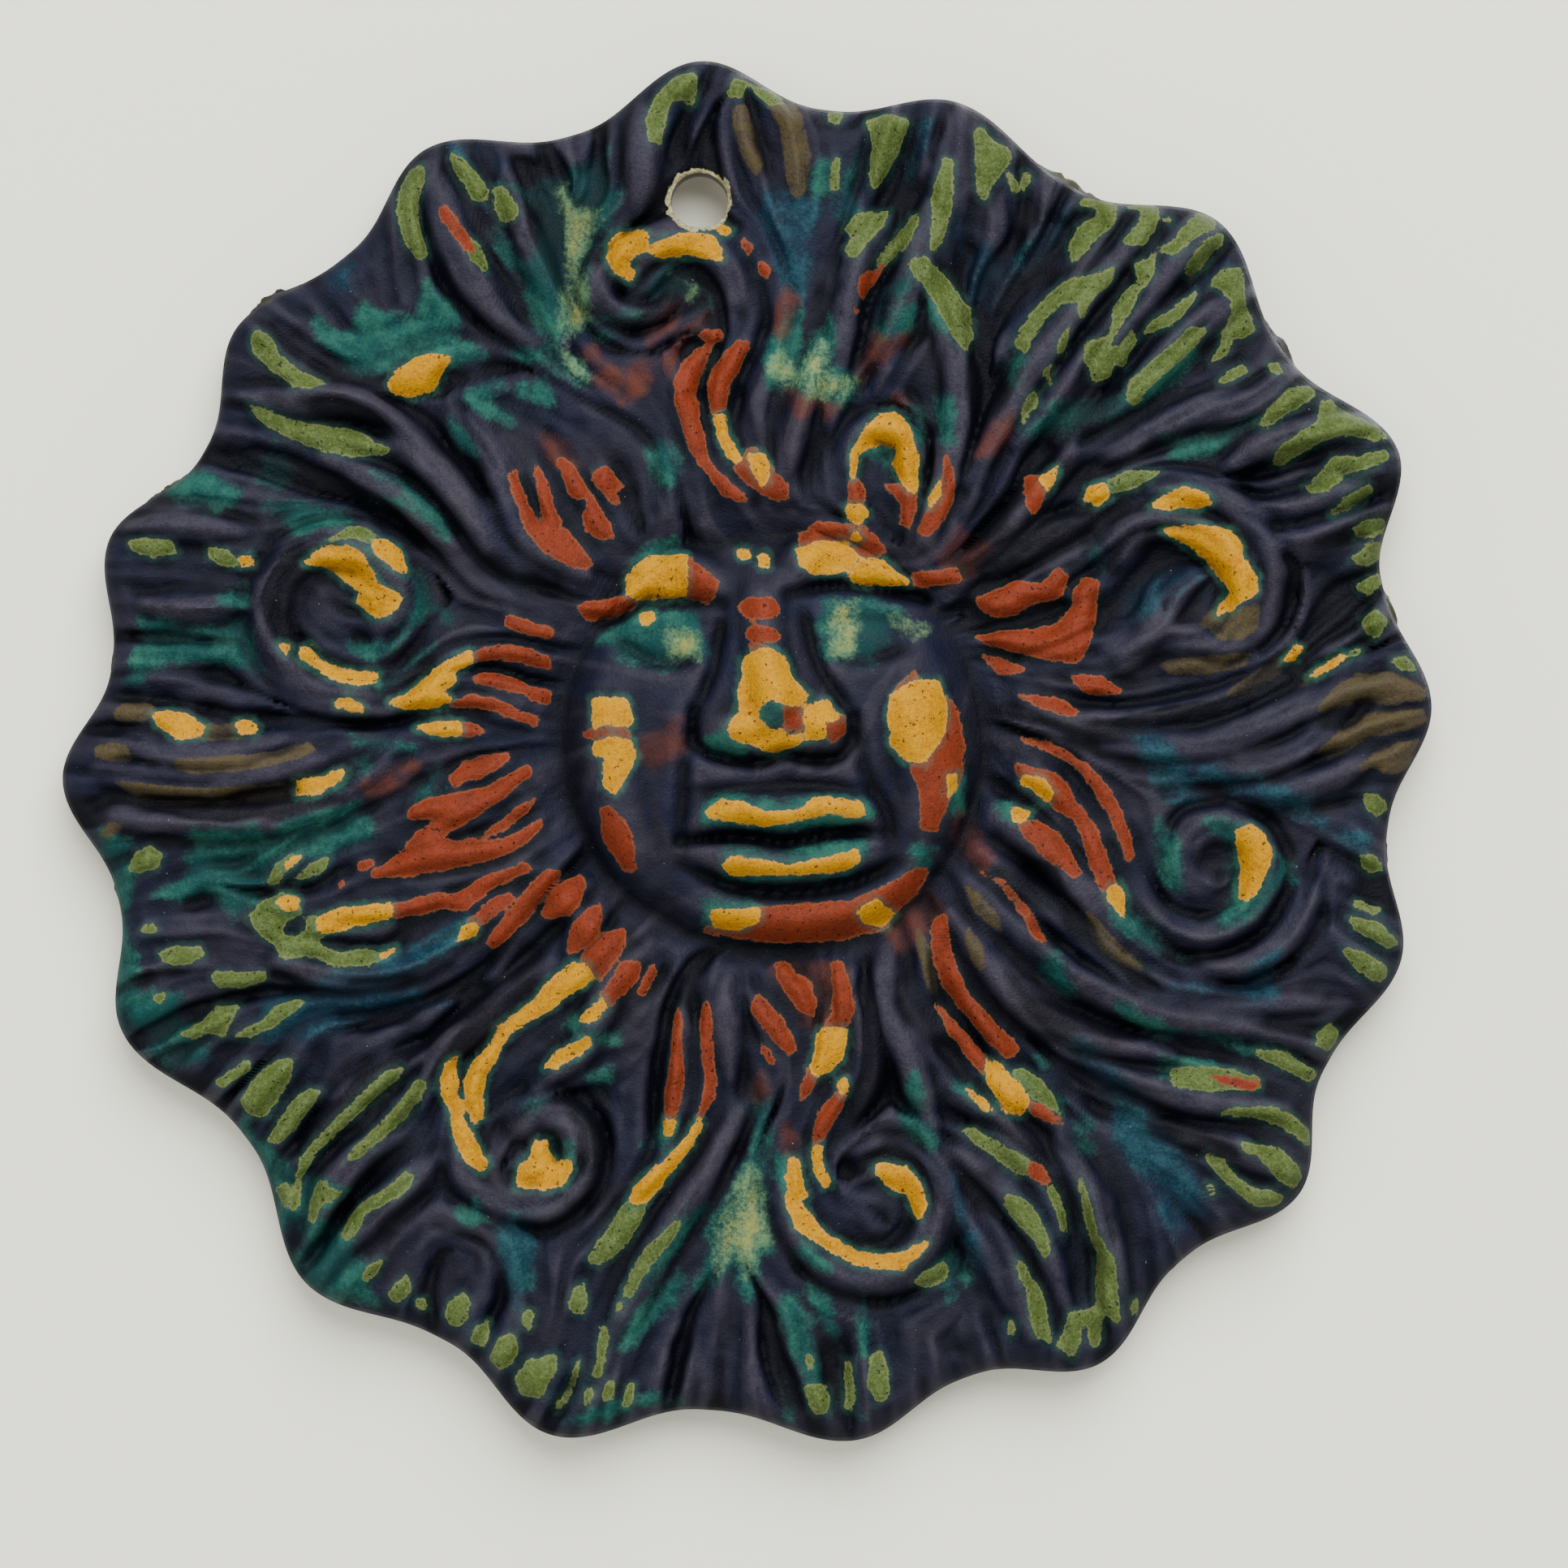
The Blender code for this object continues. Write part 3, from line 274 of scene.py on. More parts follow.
     57.7,16.7, 57.9,17.5, 59.3,19.4, 58.1,21.4, 56.5,23.3, 54.2,25.3, 52.3,26.4),
)

greenPatches = (
    (-62.3,-43, -60,-40, -57.5,-38.2, -56,-38, -56.2,-40, -58,-43, -59.3,-44.8, -60.3,-44.8),
    (74.5,27.2, 76,28.3, 78.3,28.4, 78.7,27.5, 77,26.4, 75,26.2),
    (74.4,23.6, 76,24.8, 78,25.7, 78.2,24, 76,22.8), (75,20.3, 77.8,21.8, 78,20.5, 76.5,19.2),
    (75.8,16, 77.5,17.2, 78.8,15.8, 77.3,13.9, 76.2,14.8), (79.4,10.9, 81,11.5, 82.4,10, 80.5,10),
    (76,-5.5, 77.5,-5.5, 78.8,-7, 77.5,-8, 76.2,-7), (75.2,-13, 77,-13, 78.2,-14.5, 77,-15, 75.8,-14.3),
    (74,-20.6, 77.8,-21.4, 80,-23.8, 78.5,-24.2, 76.5,-22.8, 74.8,-22),
    (73.3,-24.3, 75.5,-24.8, 78.8,-27, 77.8,-28.5, 75,-27, 73.8,-25.4),
    (70,-34.8, 71.8,-33.8, 72.8,-34.6, 71.5,-37, 70.2,-36),
    (62.3,-36.8, 66,-37, 69.8,-39.5, 69.5,-40.7, 64,-38.2),
    (52,-39, 57,-39, 62.5,-40.2, 63,-41.5, 57,-41.6, 52.3,-41), (73.6,11.6, 75.4,12.6, 75.2,11.9),
    (74.8,-18.6, 78,-19.6, 77,-20, 75,-19.2),
    (-61.2,-20.5, -60,-19, -57.5,-17.6, -55.4,-18, -54.9,-19.8, -56.5,-20.8, -57.2,-21.5, -57,-22.6,
     -55.5,-23, -54.2,-22.3, -53.8,-21, -54.5,-20.5, -52.8,-20.4, -51,-22.2, -53,-22.8, -52.5,-24, -50,-25,
     -47,-24.4, -44.5,-25, -46.5,-26.3, -50.5,-26.3, -53,-25.4, -54.5,-25.2, -57,-25.3, -58,-23.8,
     -59.8,-22.5), (-58.8,-16.3, -58,-14.2, -55.8,-12.8, -55,-13, -57,-15, -58,-16.2),
    (-55.5,-15.8, -54,-14.3, -51.5,-13.2, -52,-14.5, -54,-15.5),
    (-76,-14.6, -75.2,-12.6, -73.5,-12, -72,-13, -72.8,-14.3, -75,-15),
    (-72.3,-24.9, -70.5,-24.2, -67.3,-24.2, -67,-25.4, -69.5,-26.2, -71.5,-25.9),
    (-65.8,-28, -65,-27.2, -62,-27.5, -59.3,-27.3, -59.2,-28, -61.5,-28.8, -65,-28.9),
    (-69.5,-34.8, -67,-33.5, -65.3,-31.5, -62.7,-31.4, -63.5,-33, -64.5,-35, -66.5,-34.5, -68,-35.4),
    (-63,-35.1, -60,-33.5, -57,-31.2, -54.5,-30.7, -58.5,-34, -61,-35),
    (-65.2,-40.8, -61.5,-38.2, -61.3,-39.2, -63,-40.3, -64.8,-41.2),
    (-62.2,-43.5, -61,-41, -59,-39, -56.6,-38, -56.2,-39.5, -59,-44.5, -60.5,-44.9),
    (-74.5,-22.2, -73.5,-21.4, -72.8,-22, -73.5,-22.4), (-73,-30.4, -71.5,-29.7, -72,-30.9),
    (-75.9,25.7, -74,26, -70.6,25.5, -70.2,24.4, -73,23.9, -75.5,24.6),
    (-66.3,24.9, -64,24.6, -62.4,23, -64,22.8, -66,23.6),
    (-61.2,42.5, -59,41.8, -56,40.5, -53,39.8, -50,39.6, -47.5,39, -45.5,37.3, -44,37, -44.5,36.5,
     -48,36.2, -51,36.6, -54,37.7, -57,39, -59.5,40.5),
    (-61,50.8, -60.3,51.6, -59,51, -57.5,48.5, -55,46.5, -52,45.2, -53.5,44.6, -56,45, -58.5,47, -60.5,49),
    (-34.2,63, -33,62, -32,60, -32.2,58.9, -33.5,60, -34.3,61.5),
    (-43,66, -42.8,69, -41.5,71.2, -40,71.9, -39.7,70.5, -40.5,67.5, -40.3,64, -39.5,62, -39.3,60.8,
     -40.5,60.6, -42,62.5),
    (-36.5,73.3, -35.8,73.1, -34,71.5, -32,69, -32,67.6, -33.5,67.8, -35,70, -36.3,72.3),
    (-31.3,69.3, -30.5,69.3, -29.5,68.5, -28.2,66.5, -28.4,65.6, -30,65, -30.8,66.5),
    (-12,75, -12.2,78, -11,80.5, -9,82.6, -7,83.3, -6.3,82.5, -6.5,80, -7.2,79.4, -8,80.3, -9.5,80,
     -10.2,78, -10.8,74.6), (-2.4,80.8, -1.6,82.5, 0,82, -0.8,80.5),
    (0.5,81.8, 3,81.2, 4.5,79.8, 3,79.6, 1.8,80.4), (10.5,72, 11.2,72.6, 11,69, 10.4,69.2),
    (10,78.5, 11.7,78.5, 11,77.2, 10.3,77.6),
    (14.9,77.5, 16,78, 18,78, 19.6,77.5, 19.5,76, 17,70.8, 15.6,69.3, 15.2,71, 15.5,74),
    (27.9,76, 28.8,76.6, 30.2,74.8, 32,74, 32.3,72.8, 31.2,71, 30,69.5, 29.2,67.8, 28.4,68.5, 28.3,72),
    (32,71, 33,70, 33.3,68.5, 32.6,69), (34,71.2, 34.7,70.8, 34,68.8, 33.5,69.5),
    (24.3,72.6, 25,72.5, 25.2,69, 24.8,66, 23.8,62.5, 23,61.3, 22.6,62, 23,65, 22.7,68),
    (12,64, 13.5,65.8, 16.5,66.3, 17.2,66.3, 16.5,64.5, 14.5,62.5, 13,60.5, 12,61.5, 13.5,63),
    (15.9,60, 18,63, 20.5,65.8, 21,65.5, 20,62.8, 18,60.5, 16.2,59.2),
    (19.9,59.5, 20.5,60.2, 21.8,60.3, 24,58.5, 26,56, 27.4,54, 27.6,51, 27,49.4, 26,50, 23.5,54.5,
     21.5,57.5),
    (39.7,62, 40.8,64.5, 43,65.7, 43,67, 41,67.3, 41.5,67.9, 44.5,67.7, 45.3,67, 45,65, 43,63.3, 41.5,61.5,
     40,60.3), (46.2,62.5, 48.5,65, 48.5,66.5, 47,67, 48,67.6, 50.5,67, 50,64, 48.5,62.3, 46.8,62.2),
    (50.5,61.8, 52,62, 54,64.5, 55.5,66, 57.3,65.8, 57.5,64.5, 55.5,63.5, 54,62.5, 52.5,61, 51,61.2),
    (51.2,65.3, 52,65.5, 52,64.7),
    (53.8,58.5, 55,61, 57,63, 58.5,63.6, 58.8,62.8, 57,61, 56,59.5, 54.5,58.4),
    (33,50, 34.5,53, 38.5,57.2, 40.5,58, 43,58.3, 45,59.3, 44.5,57.5, 42.5,55.8, 41.2,55, 40.5,55.3,
     38.5,55, 36.5,53, 35,51, 34,48.8),
    (45,51.8, 45.2,54.5, 46.5,56.5, 48,57.3, 47.8,59.8, 49.5,60.5, 50,61.2, 50,59.5, 49.3,57.8, 48,56.8,
     47.3,54.8, 46,52.5, 44.5,50.5, 44.3,49, 46,49.8, 47.2,51.3, 47.8,50.5, 46.5,48.5, 46.3,47.3, 45,47.8,
     44.5,45.8, 42.5,45.5, 42.3,47, 41.3,48, 41.6,49.8, 43.5,50.3), (40.5,54.3, 42,56.5, 42,55.2, 41,53.3),
    (38.2,50, 39.2,51.5, 38.8,49, 38,48.6), (36.5,46.5, 37.2,47.2, 37.3,45.2, 36.8,44.8),
    (48.8,51.2, 49.5,52.5, 52,54, 55.2,56.3, 54.5,54.8, 52.5,52.5),
    (46.5,43.5, 47,45, 49,47, 52,49.3, 54.5,51.8, 56.3,51.6, 55,49.8, 49.5,45, 47.5,42.6),
    (57,57.3, 58.5,59, 60.5,59.3, 61,57.5, 61,55.5, 62.3,51.8, 61,50.9, 59.5,50.7, 59,49, 57.2,47.9,
     58.3,50, 58.5,51.5, 59.8,53.5, 59.5,55.5, 58.5,56.5),
    (58,45.3, 59.5,46.8, 61,47.2, 61.3,46.6, 59.5,45.6), (64.3,47.5, 65.4,47.6, 65.4,46.3, 64.5,46.6),
    (62.6,39.8, 64.5,42.5, 67,44.5, 69,44.8, 69.8,43.8, 65.5,40.8, 63.5,39.7),
    (70.4,42.8, 72,43, 74,41.2, 77,40, 78.7,38.8, 77.5,38.2, 74.5,38.8, 72.5,38.8, 70,38, 65.5,35,
     64.5,35.3, 65.5,37.2, 68,39, 70.2,40.2),
    (68.5,32.2, 70.5,34, 72,36, 75,36, 78.5,36.9, 78.8,36, 76,34.7, 73.5,34, 71,32, 69.2,31.8),
    (71.5,29, 73.5,31, 76.3,32.5, 77,32, 75.2,30.4, 73,29.2),
    (44,31.8, 44.5,33, 47,34.2, 50.5,34.2, 49.5,33.5, 46.5,32), (34.2,43, 35.4,44, 35.6,42.5, 33.4,39.8),
    (32.5,-39.4, 34,-39.2, 36,-40.5, 37.5,-42.5, 38.5,-44.5, 37,-43.8, 35,-42.5, 33.5,-41),
    (26.5,-46.5, 28,-46.6, 34.5,-50.4, 34.8,-52, 33,-51.8, 28,-48),
    (36.8,-53.3, 37.8,-54, 38.7,-56, 39.3,-59, 38.8,-58.9, 38,-56.3, 37,-54.2),
    (31.6,-54.5, 33,-54.8, 35,-56.2, 36.3,-58.5, 37.1,-61.5, 36.5,-62, 35.3,-60, 32.3,-56.8, 31.7,-55.8),
    (33,-62.5, 33.8,-63, 34.8,-65, 35.8,-65.8, 36.5,-68, 37.2,-72.8, 35.8,-72, 34.8,-69.5, 34.6,-66.5,
     33.4,-64),
    (40.7,-52.5, 41.3,-53.2, 42.7,-59, 43.8,-61.2, 44.9,-62.5, 45.7,-70.2, 45,-70, 44.3,-69.2, 43.5,-69.8,
     43.4,-72.8, 42.6,-73.3, 42,-72, 42.3,-70.5, 41,-70.3, 40.8,-72.5, 40,-74.8, 38.3,-73.2, 39,-71.5,
     39.5,-69.2, 41.5,-68.9, 43,-68.5, 42.8,-65.5, 43.2,-62, 42,-59.5),
    (20.5,-65.5, 22,-64, 24,-63, 24.7,-63.8, 24,-65.3, 22,-65.9),
    (58.2,-44.5, 60,-43.9, 64,-43.8, 67,-45, 69,-47, 69,-48.4, 65,-45.7, 62,-44.9),
    (60.8,-48.2, 65,-48.9, 67.5,-51, 68,-52.5, 67.3,-53.8, 65.3,-52.8, 64,-50.8, 62.5,-49.3, 61,-49),
    (56.3,-49.5, 58.5,-50.5, 60,-52.5, 62,-54, 64.5,-54.3, 66,-55, 65,-55.8, 62.5,-56, 58.5,-52.5, 57,-51),
    (56.4,-53.3, 57.2,-53.8, 57.4,-54.5, 56.8,-54.3), (47.3,-67.6, 48,-67.4, 47.7,-69.5, 47.3,-69.3),
    (32,-70, 32.6,-70.2, 32.8,-71.9, 32.3,-71.6),
    (15.3,-74.5, 16.3,-73.8, 17.2,-76.5, 17.2,-79.5, 15.8,-80, 15,-77.5),
    (12.2,-75, 12.7,-76, 13,-79, 12.8,-81.3, 12.2,-81, 12,-78),
    (7.2,-78.5, 8,-78, 9.5,-78.3, 10,-79.5, 9.8,-81.3, 8.3,-81.5), (7.2,-74.5, 8,-74.8, 7.6,-76),
    (-49,-50.2, -47.8,-48.5, -45,-46, -42.5,-43.3, -40.5,-40.6, -39.5,-40.8, -40.2,-42.8, -42.5,-45.5,
     -48,-50),
    (-56,-56.5, -55.5,-53, -54.8,-50.5, -53,-48, -47,-42, -44,-39.5, -42.4,-39, -42.8,-40, -45.5,-42.5,
     -51,-47.2, -53.5,-49.8, -54.8,-52.5, -55.3,-56),
    (-58.8,-48, -57.5,-45.5, -56,-43.3, -53.8,-41.7, -52.6,-42, -55.8,-46.5, -57.5,-48),
    (-54,-57.5, -53.5,-55, -52.5,-53, -51.8,-52.8, -51.5,-54, -49.8,-54.2, -51,-55, -52.5,-55.5,
     -53.2,-57.8),
    (-49.8,-59.5, -48.5,-57, -46.5,-55.3, -44,-53.8, -42,-52, -41,-52.3, -42,-54, -44.5,-55.5, -46.8,-56.5,
     -48,-59, -49,-60), (-58,-54, -56.8,-53.3, -56,-55, -57,-56),
    (-47.2,-65, -46.5,-63.5, -45,-62.7, -45.5,-64, -46.8,-65.2),
    (-44,-67, -43,-65.5, -42,-64.7, -41.5,-66.5, -43,-67.8),
    (-40.8,-67.8, -39.8,-67.5, -39.5,-68.5, -40.3,-68.6),
    (-37,-69.5, -36.5,-68, -35,-66.8, -34.4,-67.5, -34.6,-70, -36,-70.8),
    (-33.9,-72.5, -33.2,-71, -32,-70.2, -31.7,-71.5, -32.5,-73.2),
    (-31.5,-74.5, -30.5,-72.5, -28.8,-71.8, -28.3,-73.5, -29,-75.5, -30.5,-75.9),
    (-27.6,-70.5, -27,-68.7, -26.3,-69, -26.8,-71),
    (-28.3,-77, -27,-75, -25,-74.7, -23.6,-74.3, -23.5,-75.8, -24.5,-77.5, -25.2,-79.2, -27,-79.4,
     -28.2,-78.2), (-21.8,-68, -21,-66, -20.2,-65.5, -19.8,-67.5, -20.2,-69, -21.3,-69),
    (-22,-78.5, -20.8,-75, -21,-77, -22.3,-80, -23.5,-81.3, -23.3,-80.4),
    (-18.8,-77, -18.2,-74, -17.9,-71, -17.1,-71, -18,-76.5),
    (-17.8,-79.8, -17.2,-77.6, -16.4,-77.5, -16.6,-79.6), (-20,-80.2, -19.6,-78.5, -19.1,-78.6, -19.5,-80),
    (-15.3,-80.5, -14.8,-78, -14,-78, -14.4,-80.3),
    (-19.5,-62.3, -14.5,-55, -12.5,-55.5, -13,-57.5, -14.5,-60, -16.5,-62, -18.3,-63, -19.2,-63),
    (-15,-66.5, -14.3,-64.5, -13,-62, -9,-58, -8.3,-57.5, -9.3,-60, -11.5,-62.5, -13,-64.5, -14.3,-66.8),
    (-16.2,-69, -15.8,-67.8, -15.4,-68.5),
    (-51,25.8, -49,27.2, -47.3,27.2, -45.8,26.5, -45.7,25.4, -47,25.9, -49,26.3),
)

palePatches = (
    (-10.2,14.7, -5.8,14.5, -5.8,11.2, -9.5,11), (10,18.5, 13.5,18.8, 14.4,15, 13,11.4, 10.5,12),
    (17,16.5, 22.8,16, 22,14.2, 17.5,14.6),
    (-24.5,69.5, -22.5,70.5, -20.8,66.6, -17.2,67, -20.5,60.5, -19.8,55, -19.2,53.5, -19.7,52, -21.8,50.5,
     -23.2,54, -22.9,65), (-22.5,48.5, -20,47, -19.8,45.6, -21.5,46.2),
    (-9.5,58.5, -7,58.2, -6.4,56.6, -8.5,57.2),
    (2.7,47, 5,45, 11,42.7, 13.5,45, 12.5,46, 11,45.5, 10,46.5, 9.8,48.5, 9,50.2, 8.2,50, 7.3,46.5, 6,46.2,
     4,48.5), (7,48.5, 8.8,49.5, 9.8,47.8, 10.7,44.5, 9.5,42.9, 7.9,44),
    (1.2,-51.2, 2.8,-60.3, 2.2,-60.6, 1.2,-60.3, 0.6,-64, -0.2,-65, -0.8,-62.5, -1.8,-61.5, -3.9,-64.2,
     -4.2,-60, -1,-53, 0.2,-51.5), (-7.6,55.4, -7,57.3, -6.2,57.4, -6.1,56.2, -7,55.2),
)

tealPatches = (
    (-68,-10, -60,-9.5, -58,-14, -62,-18.5, -69,-15), (-57,-8, -48,-6, -46,-11, -52,-13, -57,-12),
    (-78,-30, -70,-30, -66,-38, -72,-40), (-57,-57, -49,-58, -46,-68, -52,-66),
    (-80,-9, -76,-12, -77,-34, -72,-42, -80,-30), (-49,-54, -58,-50, -62,-46, -58,-60),
    (-11.8,37.5, -10,36, -9,33, -11,32.8),
    (-63.3,-11.3, -59,-10.6, -54.7,-8.4, -48.9,-8.4, -48.2,-12, -52.5,-12.8, -56.8,-12, -59.7,-14.9,
     -60.4,-18.6, -72.7,-17.8),
    (-60,-54, -57,-52, -56,-56, -57,-60, -54,-62, -50,-63, -48,-66, -51,-68, -55,-66, -58,-62),
    (-33,-55.5, -35,-56, -34,-57.5, -32.5,-57), (-20,-40, -17,-39.5, -16.5,-40.5, -18,-42),
    (-28,-44.5, -26,-43, -24,-42.5, -26,-44), (11,66, 13,72, 14.5,75, 14,70, 12.5,64),
    (19,72, 22,78, 20,70), (38,42.5, 42,43, 46,44.5, 54,48.5, 56,49, 52,45, 44,40.5, 40,39, 36,38.5, 34,39),
    (50,38.5, 55,38.5, 60,39.5, 62,40.5, 58,37.5, 53,36.5), (31,46, 33,49, 34,48, 32.5,45),
    (41.5,23, 42.5,25, 44,24, 43.5,22), (13,36.5, 14.5,37.5, 17,37.5, 18,36, 17.5,33.5, 15,36.5),
    (50.4,-10, 52.6,-14.3, 53.3,-17.2, 51.5,-16.5),
    (58.4,-20.8, 62,-17.9, 65.6,-12.9, 67,-14.3, 63.4,-19.4),
    (56.2,-8.8, 60,-8.8, 60.6,-16, 60.2,-18.6, 62,-18.8, 63.8,-15.5, 64.3,-15.8, 62.5,-19.5, 59.5,-21,
     57.8,-21.2, 58.2,-19.8, 59.5,-18.5, 59.7,-12), (30.5,-6.3, 34.7,-7.6, 33.6,-8.6, 31.8,-8.4, 30.8,-7.5),
    (-79,-11, -76,-11, -76,-15, -77.5,-19, -77.8,-23, -76,-24, -74,-34, -71,-36, -66,-35.5, -67,-37,
     -72,-37.5, -76,-34, -78,-28, -78,-20, -79,-14),
    (-57,-9, -53,-7, -48,-7.5, -48,-10, -52,-13, -56,-12.5, -58.5,-11),
    (-70,-16, -62,-13.5, -59,-15, -60,-18, -63,-20, -66,-18, -70,-18.5),
    (-14.8,21.2, -13.5,23.4, -11.7,25, -8.7,25.7, -7.3,23.9, -12.4,23.5),
    (1.6,5.2, 3,6.2, 4.6,5.6, 4.6,3, 2.6,2.9, 1.5,3.8), (-5,1.3, -3,1.6, -1,0.8, -1,-0.3, -4.5,0.2),
    (-14,16.5, -6,17, -4.5,12, -9,10, -15,11.5, -18,13), (8.8,19, 15,19, 20,16.5, 15,11, 9.5,11.5),
    (-5.8,-7.5, -3,-5.4, 4,-6.6, 8,-5, 14,-5.2, 15.2,-7.5, 12,-8.8, 2,-10, -5,-9),
    (-4.2,-14, -2,-12, 3,-12.8, 14,-11.4, 14.8,-13.4, 12.5,-15.4, 5,-16, -2.5,-16),
    (20.6,-12, 22.4,-12.4, 22.4,-14.6, 21.3,-15), (24.8,-4, 26.5,-3, 26.4,-7.5, 25,-7),
    (-5,-18.5, 0,-18.4, 0,-19.5, -5,-20),
    (-30,69.5, -27,69.5, -24.5,71.5, -22,71.3, -17.5,74.2, -17,71, -16,68.5, -16.5,66, -19.5,60.5, -20,57,
     -19.8,54.5, -18.7,51.8, -21,51, -26.2,51.6, -27.2,55, -27.3,58.5, -26.3,62, -26,66, -28,68.3),
    (-25.5,49.5, -24,49.5, -22.7,47.5, -20,47.5, -19.3,46, -19.8,45, -21,44.8),
    (-12.7,56, -11.5,58.2, -9,59.5, -7,59, -5.8,57.8, -5.7,56, -6.8,55, -9.5,56, -11,55.2),
    (-17.5,53.2, -16,54.3, -11.5,53.8, -13,53, -16,52.8), (-6.5,54.2, -4,56, -4.2,54.5, -5.5,53.8),
    (-53,52.5, -52.5,50.3, -50.5,48, -48,46.3, -46,46.5, -41,49, -36,50.7, -35.4,53.3, -36.5,55, -39.5,57,
     -40.5,53, -43,52.8, -46.5,54.5, -48,53.5, -50,50.5),
    (-38.3,48.9, -36.5,49.7, -34,49.5, -32.3,48.3, -34,47.3, -36.5,47.6),
    (-29.3,48.5, -28.5,49.5, -25.5,48.5, -25.7,47.7, -28,47.7),
    (-34,43.5, -33,45, -31,45.8, -30,45.5, -32,44.5, -31.2,43, -32,42.2, -33,42),
    (-28,43.8, -27.8,45.5, -27,45, -27,43.7), (-26.5,43.5, -26,46, -25,46, -24,43.5, -24.5,42.4),
    (-31.3,63.5, -30,63.5, -27.2,58.5, -27.8,58), (-18.8,51.2, -17.5,51.6, -16.2,51, -17,49.9, -18.5,50),
    (2.2,48, 2.5,50.5, 4.5,51.5, 6,53.5, 6.5,53.8, 6.3,51, 6.8,48, 7.3,50, 10,52.8, 10.3,47, 14,46.5,
     13.5,44, 12,42.3, 10.5,42, 5,44, 3,45.5),
    (15.3,51, 15.9,56, 16.7,56.8, 16.4,52.5, 17.5,51.5, 19.3,54.5, 20.2,54.2, 20.1,51.5, 17,50.4),
    (17.8,56.2, 18.3,57.5, 19.5,58.7, 20,58.5, 18.3,55.8),
    (15,41, 17,42.5, 19,42.4, 19.6,40.8, 19,40.3, 18.2,41.8),
    (20.8,38, 20.5,40, 21.2,41.9, 21.7,40.5, 21.4,38), (23.3,43.3, 25.6,43.3, 25.2,38.3, 24,38.3),
    (22.3,55.5, 25.2,50.8, 24.3,51.2, 22.8,53), (32.3,59.5, 33.5,61.8, 34.7,62.3, 33.7,59.5, 32.5,58.6),
    (8.7,71.5, 9.5,72.2, 9.9,71, 9,70.3), (8.2,70, 9.2,70.3, 9.6,69, 8.8,68.6),
    (0.3,-42, 2.5,-43, 1.8,-54, 3,-60, 2.9,-61.7, 1.8,-61.3, 1.2,-62.5, 0.2,-67.5, -0.5,-67.5, -2,-62.7,
     -3.5,-64, -6,-67.8, -6.3,-66.5, -4.8,-61.5, -4.8,-59, -0.5,-51.3, 0.8,-50.5, 1,-47),
    (-5,-56, -6.5,-56.2, -9.5,-60.5, -14.5,-66, -14.8,-67, -14,-66.8, -9.5,-62.5, -5.2,-57),
    (-8.5,-64, -15,-71.5, -15.3,-73, -13.5,-72, -9,-67.5, -8,-65.5),
    (5,-66.5, 4,-69, 4.7,-72, 8.5,-81, 9.9,-81.8, 10.2,-79, 9.2,-75.5, 5.8,-67),
    (7.8,-65.7, 9.2,-66, 12.2,-74, 13.2,-82, 12.2,-82, 12.2,-79, 11.5,-75.5, 7.9,-67),
    (14.2,-67, 15,-69.5, 15,-73, 14.2,-73.5, 13.7,-70.5), (4.5,-77.5, 4.4,-82, 5.6,-82.3, 5,-78),
    (19,-42, 18.7,-43.5, 19.2,-46.5, 22.8,-49.2, 23.3,-48, 22.5,-46, 21,-44.8, 20.5,-40),
    (23,-65.5, 24,-62.5, 25.5,-61.2, 26.7,-63, 27.3,-65, 25.2,-64.5, 24.7,-67.5, 24.2,-66),
    (3.5,-49.8, 4.8,-50, 4.6,-52.7, 3.8,-52.3), (-12.5,-48.8, -10.3,-45.2, -9.5,-45.3, -11,-49),
    (-24,-83, -17,-82, -14.5,-81, -15,-80.3, -21,-82, -24,-82),
    (-13,-80, -10,-80.8, -8,-80.8, -9,-79.5, -11.5,-79.3), (6,-62, 8,-63.2, 9.5,-63.3, 6.5,-61),
    (-24,-47, -22.5,-49.5, -22,-47.8, -21.3,-48.5, -21.8,-51.5, -23,-50.5),
    (45,-42, 47,-43, 49.5,-46.5, 50.5,-50, 48.5,-50.5, 46,-47.5, 45,-44.5),
    (35.5,-27, 36.5,-25.5, 37.8,-25.5, 39,-27, 39.8,-29.3, 39.6,-30.7, 38.3,-30),
    (44.5,-20, 46.5,-20, 48.5,-21, 51.8,-24.5, 50.5,-25.3, 46.5,-22.5), (53,-25.2, 54.3,-26, 53.3,-26),
    (47,-25.7, 48.8,-26.5, 48.3,-27.2, 46.8,-26.5),
    (45.5,-30.8, 46.8,-31.5, 48,-33, 50,-33.2, 53.3,-35.2, 51.5,-35.6, 49,-34.7, 46,-32),
    (55.5,-34.8, 66,-37, 61.5,-37.2), (50.5,-38, 56,-38, 61.5,-39.5, 52.5,-39, 51.5,-40, 50.8,-39.5),
    (25.2,-40.5, 26.5,-40.5, 27,-41.8, 26.2,-42.3, 25.2,-41.5), (37,-42, 38,-42.3, 39.3,-43.8, 38.7,-44.5),
    (35,-36.5, 36.3,-37.3, 36.8,-39, 35.8,-39), (40.5,-45, 42,-44.5, 42.3,-46.5, 41,-46.8),
    (40.7,-47.8, 42.5,-48.5, 42,-49.8, 40.8,-49),
    (-72,32, -70,34.3, -66,34.2, -62.5,31.8, -62.6,30.3, -65.5,29.6),
    (-63.5,36.2, -62,36.4, -60.5,35, -58.5,37.5, -57,36.5, -55.5,34.2, -56,32.3, -58,32.2, -61,34),
    (-60,30, -55,31, -52,30, -49.5,29.8, -49,28.3, -53,27.2, -54.5,25.9, -58.5,29.8),
    (-45.5,34, -41,32.8, -36.5,27, -37,26.5, -42.5,32.7, -45,33.3),
    (-46.7,31, -42.8,30.2, -43.5,29.7, -46,30.2), (-64,19.3, -61.3,20.3, -61.2,17.5, -63,17.2, -65,18),
